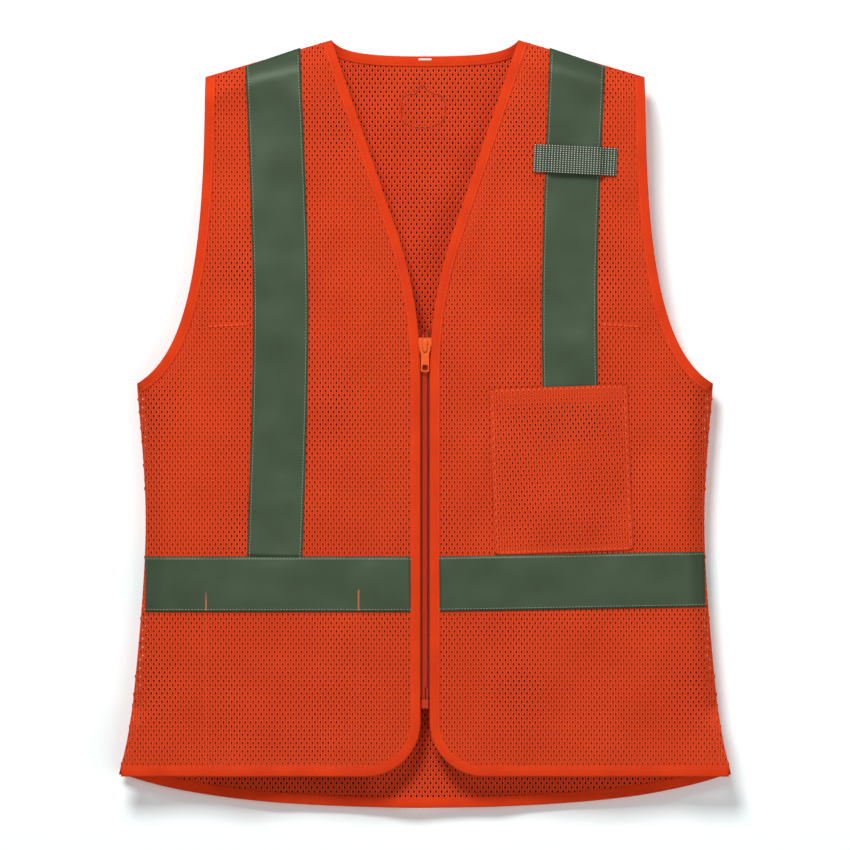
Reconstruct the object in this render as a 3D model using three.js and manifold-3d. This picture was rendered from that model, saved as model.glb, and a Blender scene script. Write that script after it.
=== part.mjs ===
// A sleeveless high visibility vest of perforated mesh cloth: a back, two fronts that open at a
// separating zip, edge bindings, retroreflective tapes, two pockets and a webbing tab on the chest.
// Millimetres, +Z up. The vest hangs as worn, its front facing -Y, and left and right are the
// wearer's, so left is +X. The origin is midway between the neck points, where the shoulder seams
// meet the neckline. Each front folds open along a straight line from its neck edge to its hem.
import * as THREE from 'three';
import { mergeVertices } from 'three/addons/utils/BufferGeometryUtils.js';
import Module from 'manifold-3d';

const wasm = await Module();
wasm.setup();

// Overall sizes. Depths are measured down from the neck points, halves out from the middle.
const NECK_HALF = 86;
const SHOULDER_HALF = 202;
const SHOULDER_DROP = 34;
const CHEST_HALF = 265;
const ARMHOLE_DEPTH = 316;
const WAIST_HALF = 257;
const WAIST_DEPTH = 450;
const HEM_HALF = 281;
const BACK_LENGTH = 707;
const TAIL_DROP = 32;
const SIDE_LENGTH = BACK_LENGTH - TAIL_DROP;
const FRONT_DROP = 2;
const VENT_LENGTH = 63;
const VENT_FLARE = 12;
const BACK_NECK_DROP = 14.3;

// Curves of the cut edges.
const ARMHOLE_STRAIGHT = 116;
const ARMHOLE_SCOOP = 58;
const ARMHOLE_RISE = 31;
const NECK_CORNER = 42;
const V_DEPTH = 308;
const V_ROUNDING = 68;
const FRONT_CORNER_RADIUS = 50;
const TAIL_SWEEP = 200;
const BACK_NECK_SLOPE = 0.9;

// Clearance between neighbours, and the steps that each curve of the garment is cut into.
const GAP = 0.3;
const ARMHOLE_STEPS = 14;
const SIDE_STEPS = 15;
const CURVE_STEPS = 8;
const TURN_STEPS = 5;
const CORNER_STEPS = 7;

// How the two layers stand apart, and how they roll together at the seams.
const HALF_DEPTH = 12.5;
const ROLL = 22;
const CLOTH = 1.0;

// Bindings and tapes.
const BINDING_WIDTH = 9.5;
const BINDING_THICK = 2.0;
const TAPE_WIDTH = 50.8;
const TAPE_THICK = 0.5;
const BRACE_TOP = 141;
const BRACE_MIDDLE = 132.5;
const BRACE_MIDDLE_DEPTH = 240;
const BRACE_BOTTOM = 138;
const WAIST_TAPE_TOP = 475;
const WAIST_TAPE_RISE = 5;
const LEFT_BRACE_END = 369;

// The line that each front folds open along, and its axis in front of the cloth.
const FOLD_TOP_DEPTH = 55;
const FOLD_HEM_INSET = 15;
const FOLD_RADIUS = 10;

// Chest pocket on the left front, and the pocket inside the right front.
const CHEST_POCKET_WIDTH = 127;
const CHEST_POCKET_HEIGHT = 152;
const CHEST_POCKET_TILT = 2.0;
const CHEST_POCKET_INSET = 61.5;
const INNER_POCKET_WIDTH = 144;
const INNER_POCKET_TOP = 506;
const INNER_POCKET_INSET = 59;
const POCKET_PUFF = 6;
const POCKET_FULLNESS = 1.25;
const POCKET_ACROSS = 10;
const POCKET_UP = 8;

// Webbing tab for a microphone clip, sewn down at both ends over the left brace tape.
const TAB_LENGTH = 76;
const WEBBING_WIDTH = 25.4;
const WEBBING_THICK = 1.4;
const TAB_MIDDLE = 138;
const TAB_DEPTH = 111;
const TAB_TILT = 2.8;
const TAB_RISE = 5;
const TAB_FOOT = 9;
const TAB_RAMP = 8;

// Labels sewn to the back.
const PATCH_SIZE = 36;
const PATCH_DEPTH = 61;
const PATCH_CORNER = 9;
const LABEL_WIDTH = 12;
const LABEL_LENGTH = 2;
const LABEL_INSET = 2;

// Separating zip.
const EDGE_HALF_GAP = 4.2;
const CHAIN_TOP = 274;
const CHAIN_TO_HEM = 71;
const COIL_WIDTH = 1.5;
const COIL_THICK = 2.2;
const ZIP_TAPE_WIDTH = 14;
const ZIP_TAPE_THICK = 0.6;
const ZIP_TAPE_LEAD = 8;
const STOP_LENGTH = 3;
const SLIDER_LENGTH = 14.5;
const SLIDER_HALF_WIDTH = 6;
const SLIDER_TAIL_HALF_WIDTH = 4.6;
const SLIDER_WALL = 1;
const SLIDER_FLANGE = 0.9;
const SLIDER_CORNER = 1.5;
const POST_WIDTH = 1.6;
const POST_LENGTH = 4;
const POST_INSET = 1;
const CROWN_WIDTH = 3.5;
const CROWN_LENGTH = 13;
const CROWN_WALL = 1;
const CROWN_CORNER = CROWN_WIDTH / 2 - 0.01;
const CROWN_STEPS = 6;
const BAR_RADIUS = 0.8;
const BAR_SIDES = 12;
const FORK_WIDTH = 9.4;
const FORK_LENGTH = 8;
const PULL_WIDTH = 7.4;
const PULL_LENGTH = 24;
const PULL_THICK = 1.2;
const PULL_HOLE = 5.2;
const PULL_RIM = 1.1;
const BOX_WIDTH = 6.8;
const BOX_DEPTH = 4;
const BOX_HEIGHT = 8.3;
const BOX_CORNER = 1.4;
const BOX_CORNER_STEPS = 4;
const BOX_SOCKET_DEPTH = 6;
const PIN_WIDTH = 1.4;
const PIN_LENGTH = 16;

const CLOTH_ROUGHNESS = 0.9;
const TAPE_ROUGHNESS = 0.6;
const MOULDED_ROUGHNESS = 0.5;
const CAST_ROUGHNESS = 0.4;
const CAST_METALNESS = 0.3;
const COLOURS = {
  mesh: 0xe44821,
  binding: 0xe03e16,
  tape: 0x4a5c46,
  webbing: 0x5f7358,
  zip: 0xc83218,
  label: 0xe9e6e0,
};

// Places that follow from the sizes.
const SEAM_Y = (CLOTH + GAP) / 2;
const FRONT_HEM = SIDE_LENGTH + FRONT_DROP;
const PLANE = SEAM_Y + HALF_DEPTH;
const TAPE_SEAT = CLOTH / 2 + GAP;
const VENT_TOP = SIDE_LENGTH - VENT_LENGTH;
const CHAIN_SETBACK = BINDING_THICK / 2 + GAP + ZIP_TAPE_THICK / 2;
const CHAIN_Y = -(PLANE - CHAIN_SETBACK);
const CHAIN_BOTTOM = FRONT_HEM - CHAIN_TO_HEM;
const COIL_INNER = POST_WIDTH / 2 + GAP;
const COIL_OUTER = COIL_INNER + COIL_WIDTH;
const REACH = 60;
const FAR = 2 * BACK_LENGTH;
const point = (x, z) => new THREE.Vector2(x, z);

// Cut edges of the left half, in the XZ plane.
const neckPoint = point(NECK_HALF, 0);
const shoulderPoint = point(SHOULDER_HALF, -SHOULDER_DROP);
const underarm = point(CHEST_HALF, -ARMHOLE_DEPTH);
const ventTop = point(HEM_HALF - VENT_FLARE, -VENT_TOP);
const hemCorner = point(HEM_HALF, -SIDE_LENGTH);

const armhole = new THREE.CubicBezierCurve(
  shoulderPoint,
  point(SHOULDER_HALF + 1, -SHOULDER_DROP - ARMHOLE_STRAIGHT),
  point(CHEST_HALF - ARMHOLE_SCOOP, -ARMHOLE_DEPTH + ARMHOLE_RISE),
  underarm,
).getPoints(ARMHOLE_STEPS);
const sideWaist = point(WAIST_HALF, -WAIST_DEPTH);
const sideEdge = new THREE.SplineCurve([underarm, sideWaist, ventTop, hemCorner])
  .getPoints(SIDE_STEPS);
const sideSeam = sideEdge.filter((p) => p.y >= ventTop.y - 1e-6);
const backNeck = new THREE.CubicBezierCurve(
  point(0, -BACK_NECK_DROP),
  point(NECK_HALF - NECK_CORNER, -BACK_NECK_DROP),
  point(NECK_HALF - NECK_CORNER / 4, -BACK_NECK_DROP * BACK_NECK_SLOPE),
  neckPoint,
).getPoints(CURVE_STEPS);
const tail = new THREE.QuadraticBezierCurve(
  hemCorner,
  point(TAIL_SWEEP, -BACK_LENGTH),
  point(0, -BACK_LENGTH),
).getPoints(CURVE_STEPS);

// The front edge: down the V of the neck, down beside the zip, round the corner and along the hem.
const vFoot = point(EDGE_HALF_GAP, -V_DEPTH + V_ROUNDING);
const vStart = vFoot.clone().lerp(neckPoint, V_ROUNDING / vFoot.distanceTo(neckPoint));
const frontEdge = [
  neckPoint,
  ...new THREE.QuadraticBezierCurve(vStart, vFoot, point(EDGE_HALF_GAP, -V_DEPTH))
    .getPoints(TURN_STEPS),
  ...new THREE.EllipseCurve(
    EDGE_HALF_GAP + FRONT_CORNER_RADIUS,
    -FRONT_HEM + FRONT_CORNER_RADIUS,
    FRONT_CORNER_RADIUS,
    FRONT_CORNER_RADIUS,
    Math.PI,
    Math.PI * 1.5,
  ).getPoints(CORNER_STEPS),
  point(HEM_HALF, -FRONT_HEM),
];

const frontOutline = [...frontEdge, ...[...armhole, ...sideEdge.slice(1)].reverse()];
const backHalf = [...backNeck, ...armhole, ...sideEdge.slice(1), ...tail.slice(1)];
const flipped = (points) => points.map((p) => point(-p.x, p.y)).reverse();
const backOutline = [...backHalf, ...flipped(backHalf).slice(1, -1)];

// Distance from a point to a line of points.
function distanceTo(line, p) {
  let nearest = Infinity;
  for (let i = 1; i < line.length; i += 1) {
    const along = line[i].clone().sub(line[i - 1]);
    const t = p.clone().sub(line[i - 1]).dot(along) / along.lengthSq();
    const foot = line[i - 1].clone().addScaledVector(along, THREE.MathUtils.clamp(t, 0, 1));
    nearest = Math.min(nearest, foot.distanceTo(p));
  }
  return nearest;
}

// How far the middle of a layer stands from the plane between front and back.
function standOff(x, z) {
  const p = point(Math.abs(x), z);
  const reach = Math.min(distanceTo([neckPoint, shoulderPoint], p), distanceTo(sideSeam, p), ROLL);
  return SEAM_Y + HALF_DEPTH * Math.sin((Math.PI / 2) * (reach / ROLL));
}

// Half width of the garment at a height, and the height of the shoulder line at a width.
function sideAt(z) {
  const below = sideEdge.findIndex((p) => p.y <= z);
  if (below <= 0) return below === 0 ? CHEST_HALF : HEM_HALF;
  const a = sideEdge[below - 1];
  const b = sideEdge[below];
  return THREE.MathUtils.lerp(a.x, b.x, (z - a.y) / (b.y - a.y));
}
function shoulderAt(x) {
  const t = (Math.abs(x) - NECK_HALF) / (SHOULDER_HALF - NECK_HALF);
  return -SHOULDER_DROP * THREE.MathUtils.clamp(t, 0, 1);
}

// Lines of the grid that every layer is made on, closer together where the cloth rolls.
const MARGIN = 8;
const NEAREST_ROWS = 2;
const WIDEST_SHARE = 0.98;
const ROLL_STEPS = [0, ROLL * 0.25, ROLL * 0.5, ROLL * 0.75, ROLL];
const CHEST_STEPS = [2, 4, 7, 10].map((rolls) => rolls * ROLL);
const spread = (list) => list
  .sort((a, b) => a - b)
  .filter((row, i, all) => !i || row - all[i - 1] > NEAREST_ROWS);
const ROWS = spread([
  -MARGIN,
  ...ROLL_STEPS,
  ...CHEST_STEPS,
  ...ROLL_STEPS.map((e) => ARMHOLE_DEPTH - e),
  ARMHOLE_DEPTH + ROLL,
  WAIST_DEPTH,
  VENT_TOP - ROLL,
  ...ROLL_STEPS.map((e) => VENT_TOP + e),
  BACK_LENGTH + MARGIN,
]).reverse();
const COLUMNS = [-MARGIN, ...ROLL_STEPS];
const FLAT_HALF = CHEST_HALF - ROLL;
const INNER_SHARES = [
  1,
  ...[SHOULDER_HALF, (SHOULDER_HALF + NECK_HALF) / 2, NECK_HALF, NECK_HALF / 2]
    .map((x) => x / FLAT_HALF)
    .filter((share) => share < WIDEST_SHARE),
  0,
];
const SHOULDER_FADE = 5 * ROLL;

// A layer of the garment between two distances from the middle of its cloth, outwards positive.
// A front half is made for the left; a back is whole. It keeps clear of the plane between them.
function layer(facing, low, high, clear = GAP / 2) {
  const half = COLUMNS.length + INNER_SHARES.length - 2;
  const across = facing < 0 ? half : half * 2;
  const box = new THREE.BoxGeometry(1, 1, 1, across, 1, ROWS.length - 1);
  const position = box.getAttribute('position');
  for (let i = 0; i < position.count; i += 1) {
    const column = Math.round((position.getX(i) + 0.5) * across);
    const depth = ROWS[Math.round((position.getZ(i) + 0.5) * (ROWS.length - 1))];
    const fromSide = facing < 0 ? across - column : half - Math.abs(column - half);
    const hand = facing < 0 || column >= half ? 1 : -1;
    const wide = sideAt(-depth);
    const x = hand * (fromSide < COLUMNS.length
      ? wide - COLUMNS[fromSide]
      : (wide - ROLL) * INNER_SHARES[fromSide - COLUMNS.length + 1]);
    const slant = 1 - THREE.MathUtils.clamp(depth / SHOULDER_FADE, 0, 1);
    const z = -depth + shoulderAt(x) * slant;
    const off = standOff(x, z) + (position.getY(i) * facing > 0 ? high : low);
    position.setXYZ(i, x, facing * Math.max(clear, off), z);
  }
  alignDiagonals(box);
  return solid(box);
}

// Cuts the squares of a box's lower face along the same diagonals as its upper face's, so that
// layers that lie on each other keep the same distance all over.
function alignDiagonals(box) {
  const index = box.getIndex();
  const { start, count } = box.groups[3];
  for (let i = start; i < start + count; i += 6) {
    const [a, b, d, , c] = Array.from({ length: 6 }, (_, k) => index.getX(i + k));
    [a, b, c, a, c, d].forEach((v, k) => index.setX(i + k, v));
  }
}

// three.js geometry to a manifold solid and back.
function solid(geometry) {
  const bare = geometry.clone();
  bare.deleteAttribute('normal');
  bare.deleteAttribute('uv');
  const merged = mergeVertices(bare, 1e-4);
  return new wasm.Manifold(new wasm.Mesh({
    numProp: 3,
    vertProperties: new Float32Array(merged.getAttribute('position').array),
    triVerts: new Uint32Array(merged.getIndex().array),
  }));
}
function geometryOf(body) {
  const mesh = body.getMesh();
  const corners = new THREE.BufferAttribute(new Float32Array(mesh.vertProperties), 3);
  const geometry = new THREE.BufferGeometry();
  geometry.setAttribute('position', corners);
  geometry.setIndex(new THREE.BufferAttribute(new Uint32Array(mesh.triVerts), 1));
  geometry.computeVertexNormals();
  return geometry;
}

// The same geometry on the other side of the wearer.
function mirrored(geometry) {
  const other = geometry.clone().scale(-1, 1, 1);
  const index = other.getIndex();
  for (let i = 0; i < index.count; i += 3) {
    const second = index.getX(i + 1);
    index.setX(i + 1, index.getX(i + 2));
    index.setX(i + 2, second);
  }
  other.computeVertexNormals();
  return other;
}

// An outline in the XZ plane made a block that reaches through the garment.
function through(points) {
  const depth = 2 * REACH;
  const block = new THREE.ExtrudeGeometry(new THREE.Shape(points), { depth, bevelEnabled: false });
  return solid(block.rotateX(Math.PI / 2).translate(0, REACH, 0));
}

// The band of a width beside an edge, on the right of its direction. It runs on a little past both
// ends and past the edge itself, so that what it cuts is cut clean.
function band(edge, width) {
  const ahead = (a, b) => b.clone().sub(a).normalize();
  const line = [
    edge[0].clone().addScaledVector(ahead(edge[1], edge[0]), MARGIN),
    ...edge.slice(1, -1),
    edge.at(-1).clone().addScaledVector(ahead(edge.at(-2), edge.at(-1)), MARGIN),
  ];
  const beside = (distance) => line.map((p, i) => {
    const before = ahead(line[Math.max(0, i - 1)], line[Math.max(1, i)]);
    const after = ahead(line[Math.min(i, line.length - 2)], line[Math.min(i + 1, line.length - 1)]);
    const mean = before.clone().add(after).normalize();
    const reach = distance / mean.dot(after);
    return point(p.x + mean.y * reach, p.y - mean.x * reach);
  });
  return through([...beside(-MARGIN / 2), ...beside(width).reverse()]);
}

// A tape of one width along a curve, cut square at its two ends.
function strip(curve, width) {
  const line = curve.getPoints(CURVE_STEPS);
  const side = (sign) => line.map((p) => point(p.x + sign * width / 2, p.y));
  return through([...side(-1), ...side(1).reverse()]);
}

// The fold line of the left front, with the half planes on its two sides.
const neckSlope = (NECK_HALF - EDGE_HALF_GAP) / (V_DEPTH - V_ROUNDING);
const foldTop = point(NECK_HALF - neckSlope * FOLD_TOP_DEPTH, -FOLD_TOP_DEPTH);
const foldFoot = point(HEM_HALF - FOLD_HEM_INSET, -FRONT_HEM);
const foldAlong = foldFoot.clone().sub(foldTop).normalize();
const foldAcross = point(-foldAlong.y, foldAlong.x);
function halfPlane(sign) {
  const beside = foldTop.clone().addScaledVector(foldAcross, (sign * GAP) / 2);
  const a = beside.clone().addScaledVector(foldAlong, -FAR);
  const b = beside.clone().addScaledVector(foldAlong, FAR);
  const out = foldAcross.clone().multiplyScalar(sign * FAR);
  return through([a, b, b.clone().add(out), a.clone().add(out)]);
}
const sideOfFold = halfPlane(1);
const flapOfFold = halfPlane(-1);

// Bodies of the finished shape, before they are cut to the separate pieces.
const frontBlock = through(frontOutline);
const backBlock = through(backOutline);
const armholeBand = band(armhole, BINDING_WIDTH);
const armholeRoom = band(armhole, BINDING_WIDTH + GAP);
const tailEdge = [...tail, ...flipped(tail).slice(1)];
const neckLine = [...flipped(backNeck), ...backNeck.slice(1)];
const bindingLayer = (facing, clear) => layer(facing, -BINDING_THICK / 2, BINDING_THICK / 2, clear);
const mirroredSolid = (body) => solid(mirrored(geometryOf(body)));

const frontEdgeRun = [...frontEdge].reverse();
const frontEdgeBand = band(frontEdgeRun, BINDING_WIDTH);
const frontEdgeRoom = band(frontEdgeRun, BINDING_WIDTH + GAP);
const frontCloth = layer(-1, -CLOTH / 2, CLOTH / 2)
  .intersect(frontBlock)
  .subtract(armholeRoom)
  .subtract(frontEdgeRoom);
const backCloth = layer(1, -CLOTH / 2, CLOTH / 2)
  .intersect(backBlock)
  .subtract(armholeRoom)
  .subtract(mirroredSolid(armholeRoom))
  .subtract(band(tailEdge, BINDING_WIDTH + GAP))
  .subtract(band(neckLine, BINDING_WIDTH + GAP));
const frontBinding = bindingLayer(-1)
  .intersect(frontBlock)
  .intersect(frontEdgeBand)
  .subtract(armholeRoom);

// Where a tape may lie: on the cloth, clear of every binding.
const tapeField = (facing, block, rooms) => rooms.reduce(
  (field, room) => field.subtract(room),
  layer(facing, TAPE_SEAT, TAPE_SEAT + TAPE_THICK, TAPE_SEAT).intersect(block),
);
const frontTapes = tapeField(-1, frontBlock, [armholeRoom, frontEdgeRoom]);
const backTapes = tapeField(1, backBlock, [armholeRoom, mirroredSolid(armholeRoom)]);

const brace = strip(new THREE.SplineCurve([
  point(BRACE_TOP, MARGIN),
  point(BRACE_MIDDLE, -BRACE_MIDDLE_DEPTH),
  point(BRACE_BOTTOM, -WAIST_TAPE_TOP - GAP),
]), TAPE_WIDTH);
const below = (depth, rise = 0) => through([
  point(-HEM_HALF, -depth),
  point(-HEM_HALF, -FAR),
  point(HEM_HALF, -FAR),
  point(HEM_HALF, -depth + rise),
]);
function waistStrip(rise) {
  const top = -WAIST_TAPE_TOP;
  return through([
    point(0, top),
    point(0, top - TAPE_WIDTH),
    point(HEM_HALF, top - TAPE_WIDTH + rise),
    point(HEM_HALF, top + rise),
  ]);
}
const waistClear = (rise) => below(WAIST_TAPE_TOP - GAP, rise);

// A pocket's outer cloth: sewn flat at its sides and foot, standing off in the middle and at its
// mouth. Made flat on the XZ plane, its mouth upwards and its cloth standing off towards -Y.
function pocketCloth(width, height) {
  const sheet = new THREE.BoxGeometry(width, CLOTH, height, POCKET_ACROSS, 1, POCKET_UP);
  const position = sheet.getAttribute('position');
  for (let i = 0; i < position.count; i += 1) {
    const u = position.getX(i) / width + 0.5;
    const v = position.getZ(i) / height + 0.5;
    const sides = Math.min(1, POCKET_FULLNESS * Math.sin(Math.PI * u));
    const foot = Math.sin((Math.PI / 2) * Math.min(1, v * 2));
    position.setY(i, position.getY(i) - POCKET_PUFF * sides * foot);
  }
  return sheet;
}

// The three bodies of the garment. Each piece is one named mesh with its own material.
const vest = new THREE.Group();
const backBody = new THREE.Group();
const rightFront = new THREE.Group();
const leftFront = new THREE.Group();
vest.add(backBody, rightFront, leftFront);

function piece(group, name, shape, colour, roughness = CLOTH_ROUGHNESS, metalness = 0) {
  const geometry = shape.isBufferGeometry ? shape : geometryOf(shape);
  const material = new THREE.MeshStandardMaterial({ color: colour, roughness, metalness });
  const mesh = new THREE.Mesh(geometry, material);
  mesh.name = name;
  group.add(mesh);
  return mesh;
}
const both = [
  { hand: 'left', group: leftFront, sided: (body) => geometryOf(body) },
  { hand: 'right', group: rightFront, sided: (body) => mirrored(geometryOf(body)) },
];

// Back, with its bindings, tapes and labels.
piece(backBody, 'back_panel', backCloth, COLOURS.mesh);
const neckBinding = bindingLayer(1).intersect(backBlock).intersect(band(neckLine, BINDING_WIDTH));
piece(backBody, 'back_neck_binding', neckBinding, COLOURS.binding);
const hemBinding = bindingLayer(1).intersect(backBlock).intersect(band(tailEdge, BINDING_WIDTH));
piece(backBody, 'back_hem_binding', hemBinding, COLOURS.binding);
const backWaist = waistStrip(0).add(mirroredSolid(waistStrip(0)));
piece(backBody, 'back_waist_tape', backTapes.intersect(backWaist), COLOURS.tape, TAPE_ROUGHNESS);
const octagon = [];
for (const [x, z] of [[1, 1], [1, -1], [-1, -1], [-1, 1]]) {
  const cut = PATCH_SIZE / 2 - PATCH_CORNER;
  const ends = [point(x * cut, (z * PATCH_SIZE) / 2), point((x * PATCH_SIZE) / 2, z * cut)];
  octagon.push(...(x * z > 0 ? ends : ends.reverse()));
}
const patchOutline = octagon.map((p) => point(p.x, p.y - PATCH_DEPTH));
piece(backBody, 'back_patch', backTapes.intersect(through(patchOutline)), COLOURS.mesh);
const label = new THREE.BoxGeometry(LABEL_WIDTH, TAPE_THICK, LABEL_LENGTH);
piece(backBody, 'neck_label', label, COLOURS.label).position.set(
  0,
  PLANE - BINDING_THICK / 2 - GAP - TAPE_THICK / 2,
  -BACK_NECK_DROP - LABEL_LENGTH / 2 - LABEL_INSET,
);

// Both fronts, cut along the fold line: the side of each stays with the back.
const aboveV = through([
  point(-FAR, -V_DEPTH),
  point(FAR, -V_DEPTH),
  point(FAR, MARGIN),
  point(-FAR, MARGIN),
]);
for (const { hand, group, sided } of both) {
  const rise = hand === 'left' ? WAIST_TAPE_RISE : 0;
  const braceEnd = hand === 'left' ? below(LEFT_BRACE_END) : waistClear(rise);
  const armholeBinding = bindingLayer(-1, -1).intersect(frontBlock)
    .add(bindingLayer(1, -1).intersect(backBlock))
    .intersect(armholeBand);
  piece(backBody, `${hand}_armhole_binding`, sided(armholeBinding), COLOURS.binding);
  const backBrace = hand === 'left' ? brace : mirroredSolid(brace);
  const backTape = backTapes.intersect(backBrace).subtract(waistClear(0));
  piece(backBody, `${hand}_back_tape`, backTape, COLOURS.tape, TAPE_ROUGHNESS);
  const crossing = [
    ['front_panel', frontCloth, COLOURS.mesh, CLOTH_ROUGHNESS],
    ['front_tape', frontTapes.intersect(brace).subtract(braceEnd), COLOURS.tape, TAPE_ROUGHNESS],
    ['waist_tape', frontTapes.intersect(waistStrip(rise)), COLOURS.tape, TAPE_ROUGHNESS],
  ];
  for (const [name, body, colour, roughness] of crossing) {
    piece(backBody, `${hand}_${name}_side`, sided(body.intersect(sideOfFold)), colour, roughness);
    piece(group, `${hand}_${name}`, sided(body.intersect(flapOfFold)), colour, roughness);
  }
  const outer = frontBinding.intersect(sideOfFold);
  piece(backBody, `${hand}_edge_binding_neck`, sided(outer.intersect(aboveV)), COLOURS.binding);
  piece(backBody, `${hand}_edge_binding_hem`, sided(outer.subtract(aboveV)), COLOURS.binding);
  piece(group, `${hand}_edge_binding`, sided(frontBinding.intersect(flapOfFold)), COLOURS.binding);
}

// Chest pocket: its middle lies from its inner side, its foot on the waist tape's top edge.
const pocketSeat = PLANE + TAPE_SEAT + CLOTH / 2;
const chestX = CHEST_POCKET_INSET + CHEST_POCKET_WIDTH / 2;
const tilt = THREE.MathUtils.degToRad(CHEST_POCKET_TILT);
const footRise = (WAIST_TAPE_RISE * CHEST_POCKET_INSET) / HEM_HALF;
const chestFoot = -WAIST_TAPE_TOP + footRise + 2 * GAP;
const chestZ = chestFoot + CHEST_POCKET_HEIGHT / 2 + (Math.sin(tilt) * CHEST_POCKET_WIDTH) / 2;
const chestCloth = pocketCloth(CHEST_POCKET_WIDTH, CHEST_POCKET_HEIGHT)
  .rotateY(-tilt)
  .translate(chestX, -pocketSeat, chestZ);
piece(backBody, 'chest_pocket_side', solid(chestCloth).intersect(sideOfFold), COLOURS.mesh);
piece(leftFront, 'chest_pocket', solid(chestCloth).intersect(flapOfFold), COLOURS.mesh);

// Inner pocket: behind the right front, from the waist tape to the hem binding.
const innerHeight = FRONT_HEM - BINDING_WIDTH - GAP - INNER_POCKET_TOP;
const innerCloth = pocketCloth(INNER_POCKET_WIDTH, innerHeight);
const inner = piece(rightFront, 'inner_pocket', innerCloth, COLOURS.mesh);
inner.rotation.z = Math.PI;
inner.position.set(
  -INNER_POCKET_INSET - INNER_POCKET_WIDTH / 2,
  -(PLANE - TAPE_SEAT - CLOTH / 2),
  -INNER_POCKET_TOP - innerHeight / 2,
);

// Webbing tab: feet sewn down over the tape, a flat bridge standing off between them.
const tabHalf = TAB_LENGTH / 2;
const tabUnder = [
  [-tabHalf, 0],
  [-tabHalf + TAB_FOOT, 0],
  [-tabHalf + TAB_FOOT + TAB_RAMP, TAB_RISE],
  [tabHalf - TAB_FOOT - TAB_RAMP, TAB_RISE],
  [tabHalf - TAB_FOOT, 0],
  [tabHalf, 0],
];
const tabProfile = [
  ...tabUnder.map(([x, y]) => point(x, y)),
  ...tabUnder.map(([x, y]) => point(x, y + WEBBING_THICK)).reverse(),
];
const tabStrap = new THREE.ExtrudeGeometry(
  new THREE.Shape(tabProfile),
  { depth: WEBBING_WIDTH, bevelEnabled: false },
).translate(0, 0, -WEBBING_WIDTH / 2).rotateX(Math.PI);
const tab = piece(backBody, 'mic_tab', tabStrap, COLOURS.webbing);
tab.rotation.y = THREE.MathUtils.degToRad(TAB_TILT);
tab.position.set(TAB_MIDDLE, -(PLANE + TAPE_SEAT + TAPE_THICK + GAP), -TAB_DEPTH);

// Zip tapes, coils and top stops. The left coil ends at the insertion pin, the right at the box.
const blockBetween = (x0, x1, y0, y1, z0, z1) => new THREE.BoxGeometry(x1 - x0, y1 - y0, z1 - z0)
  .translate((x0 + x1) / 2, (y0 + y1) / 2, (z0 + z1) / 2);
const tapeInner = COIL_OUTER + GAP;
const boxTop = -CHAIN_BOTTOM;
const pinFoot = boxTop - BOX_SOCKET_DEPTH + GAP;
for (const { hand, group } of both) {
  const coilFoot = hand === 'left' ? pinFoot + PIN_LENGTH + GAP : boxTop + GAP;
  const stopFoot = -CHAIN_TOP + GAP;
  const sided = (x0, x1, halfThick, z0, z1) => (hand === 'left'
    ? blockBetween(x0, x1, -halfThick, halfThick, z0, z1)
    : blockBetween(-x1, -x0, -halfThick, halfThick, z0, z1));
  const tapeTop = -CHAIN_TOP + ZIP_TAPE_LEAD;
  const tapeOuter = tapeInner + ZIP_TAPE_WIDTH;
  const parts = {
    zip_tape: sided(tapeInner, tapeOuter, ZIP_TAPE_THICK / 2, boxTop + GAP, tapeTop),
    zip_coil: sided(COIL_INNER, COIL_OUTER, COIL_THICK / 2, coilFoot, -CHAIN_TOP),
    zip_top_stop: sided(COIL_INNER, COIL_OUTER, COIL_THICK / 2 + GAP, stopFoot, stopFoot + STOP_LENGTH),
  };
  for (const [name, geometry] of Object.entries(parts)) {
    const made = piece(group, `${hand}_${name}`, geometry, COLOURS.zip, MOULDED_ROUGHNESS);
    made.position.y = CHAIN_Y;
  }
}

// A rectangle with rounded corners about the origin.
function roundedRectangle(width, height, corner) {
  const shape = new THREE.Shape();
  const [x, y] = [width / 2 - corner, height / 2 - corner];
  shape.absarc(x, y, corner, 0, Math.PI / 2);
  shape.absarc(-x, y, corner, Math.PI / 2, Math.PI);
  shape.absarc(-x, -y, corner, Math.PI, Math.PI * 1.5);
  shape.absarc(x, -y, corner, Math.PI * 1.5, Math.PI * 2);
  return shape;
}
// An outline in the XZ plane given a thickness along Y, from one distance to another.
const slab = (shape, y0, y1) => solid(
  new THREE.ExtrudeGeometry(shape, { depth: y1 - y0, bevelEnabled: false, curveSegments: TURN_STEPS })
    .rotateX(Math.PI / 2)
    .translate(0, y1, 0),
);

// Retainer box on the right front, with the socket that the left front's pin stands in.
const boxBlock = new THREE.ExtrudeGeometry(
  roundedRectangle(BOX_WIDTH, BOX_DEPTH, BOX_CORNER),
  { depth: BOX_HEIGHT, bevelEnabled: false, curveSegments: BOX_CORNER_STEPS },
).translate(0, 0, -BOX_HEIGHT);
const pinOuter = COIL_INNER + PIN_WIDTH;
const pinHalf = PIN_WIDTH / 2;
const socketHalf = pinHalf + GAP;
const socket = blockBetween(
  COIL_INNER - GAP,
  pinOuter + GAP,
  -socketHalf,
  socketHalf,
  -BOX_SOCKET_DEPTH,
  MARGIN,
);
const boxBody = solid(boxBlock).subtract(solid(socket));
const retainer = piece(rightFront, 'zip_retainer_box', boxBody, COLOURS.zip, MOULDED_ROUGHNESS);
retainer.position.set(0, CHAIN_Y, boxTop);
const pinBody = blockBetween(COIL_INNER, pinOuter, -pinHalf, pinHalf, 0, PIN_LENGTH);
const pin = piece(leftFront, 'zip_insertion_pin', pinBody, COLOURS.zip, MOULDED_ROUGHNESS);
pin.position.set(0, CHAIN_Y, pinFoot);

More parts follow.
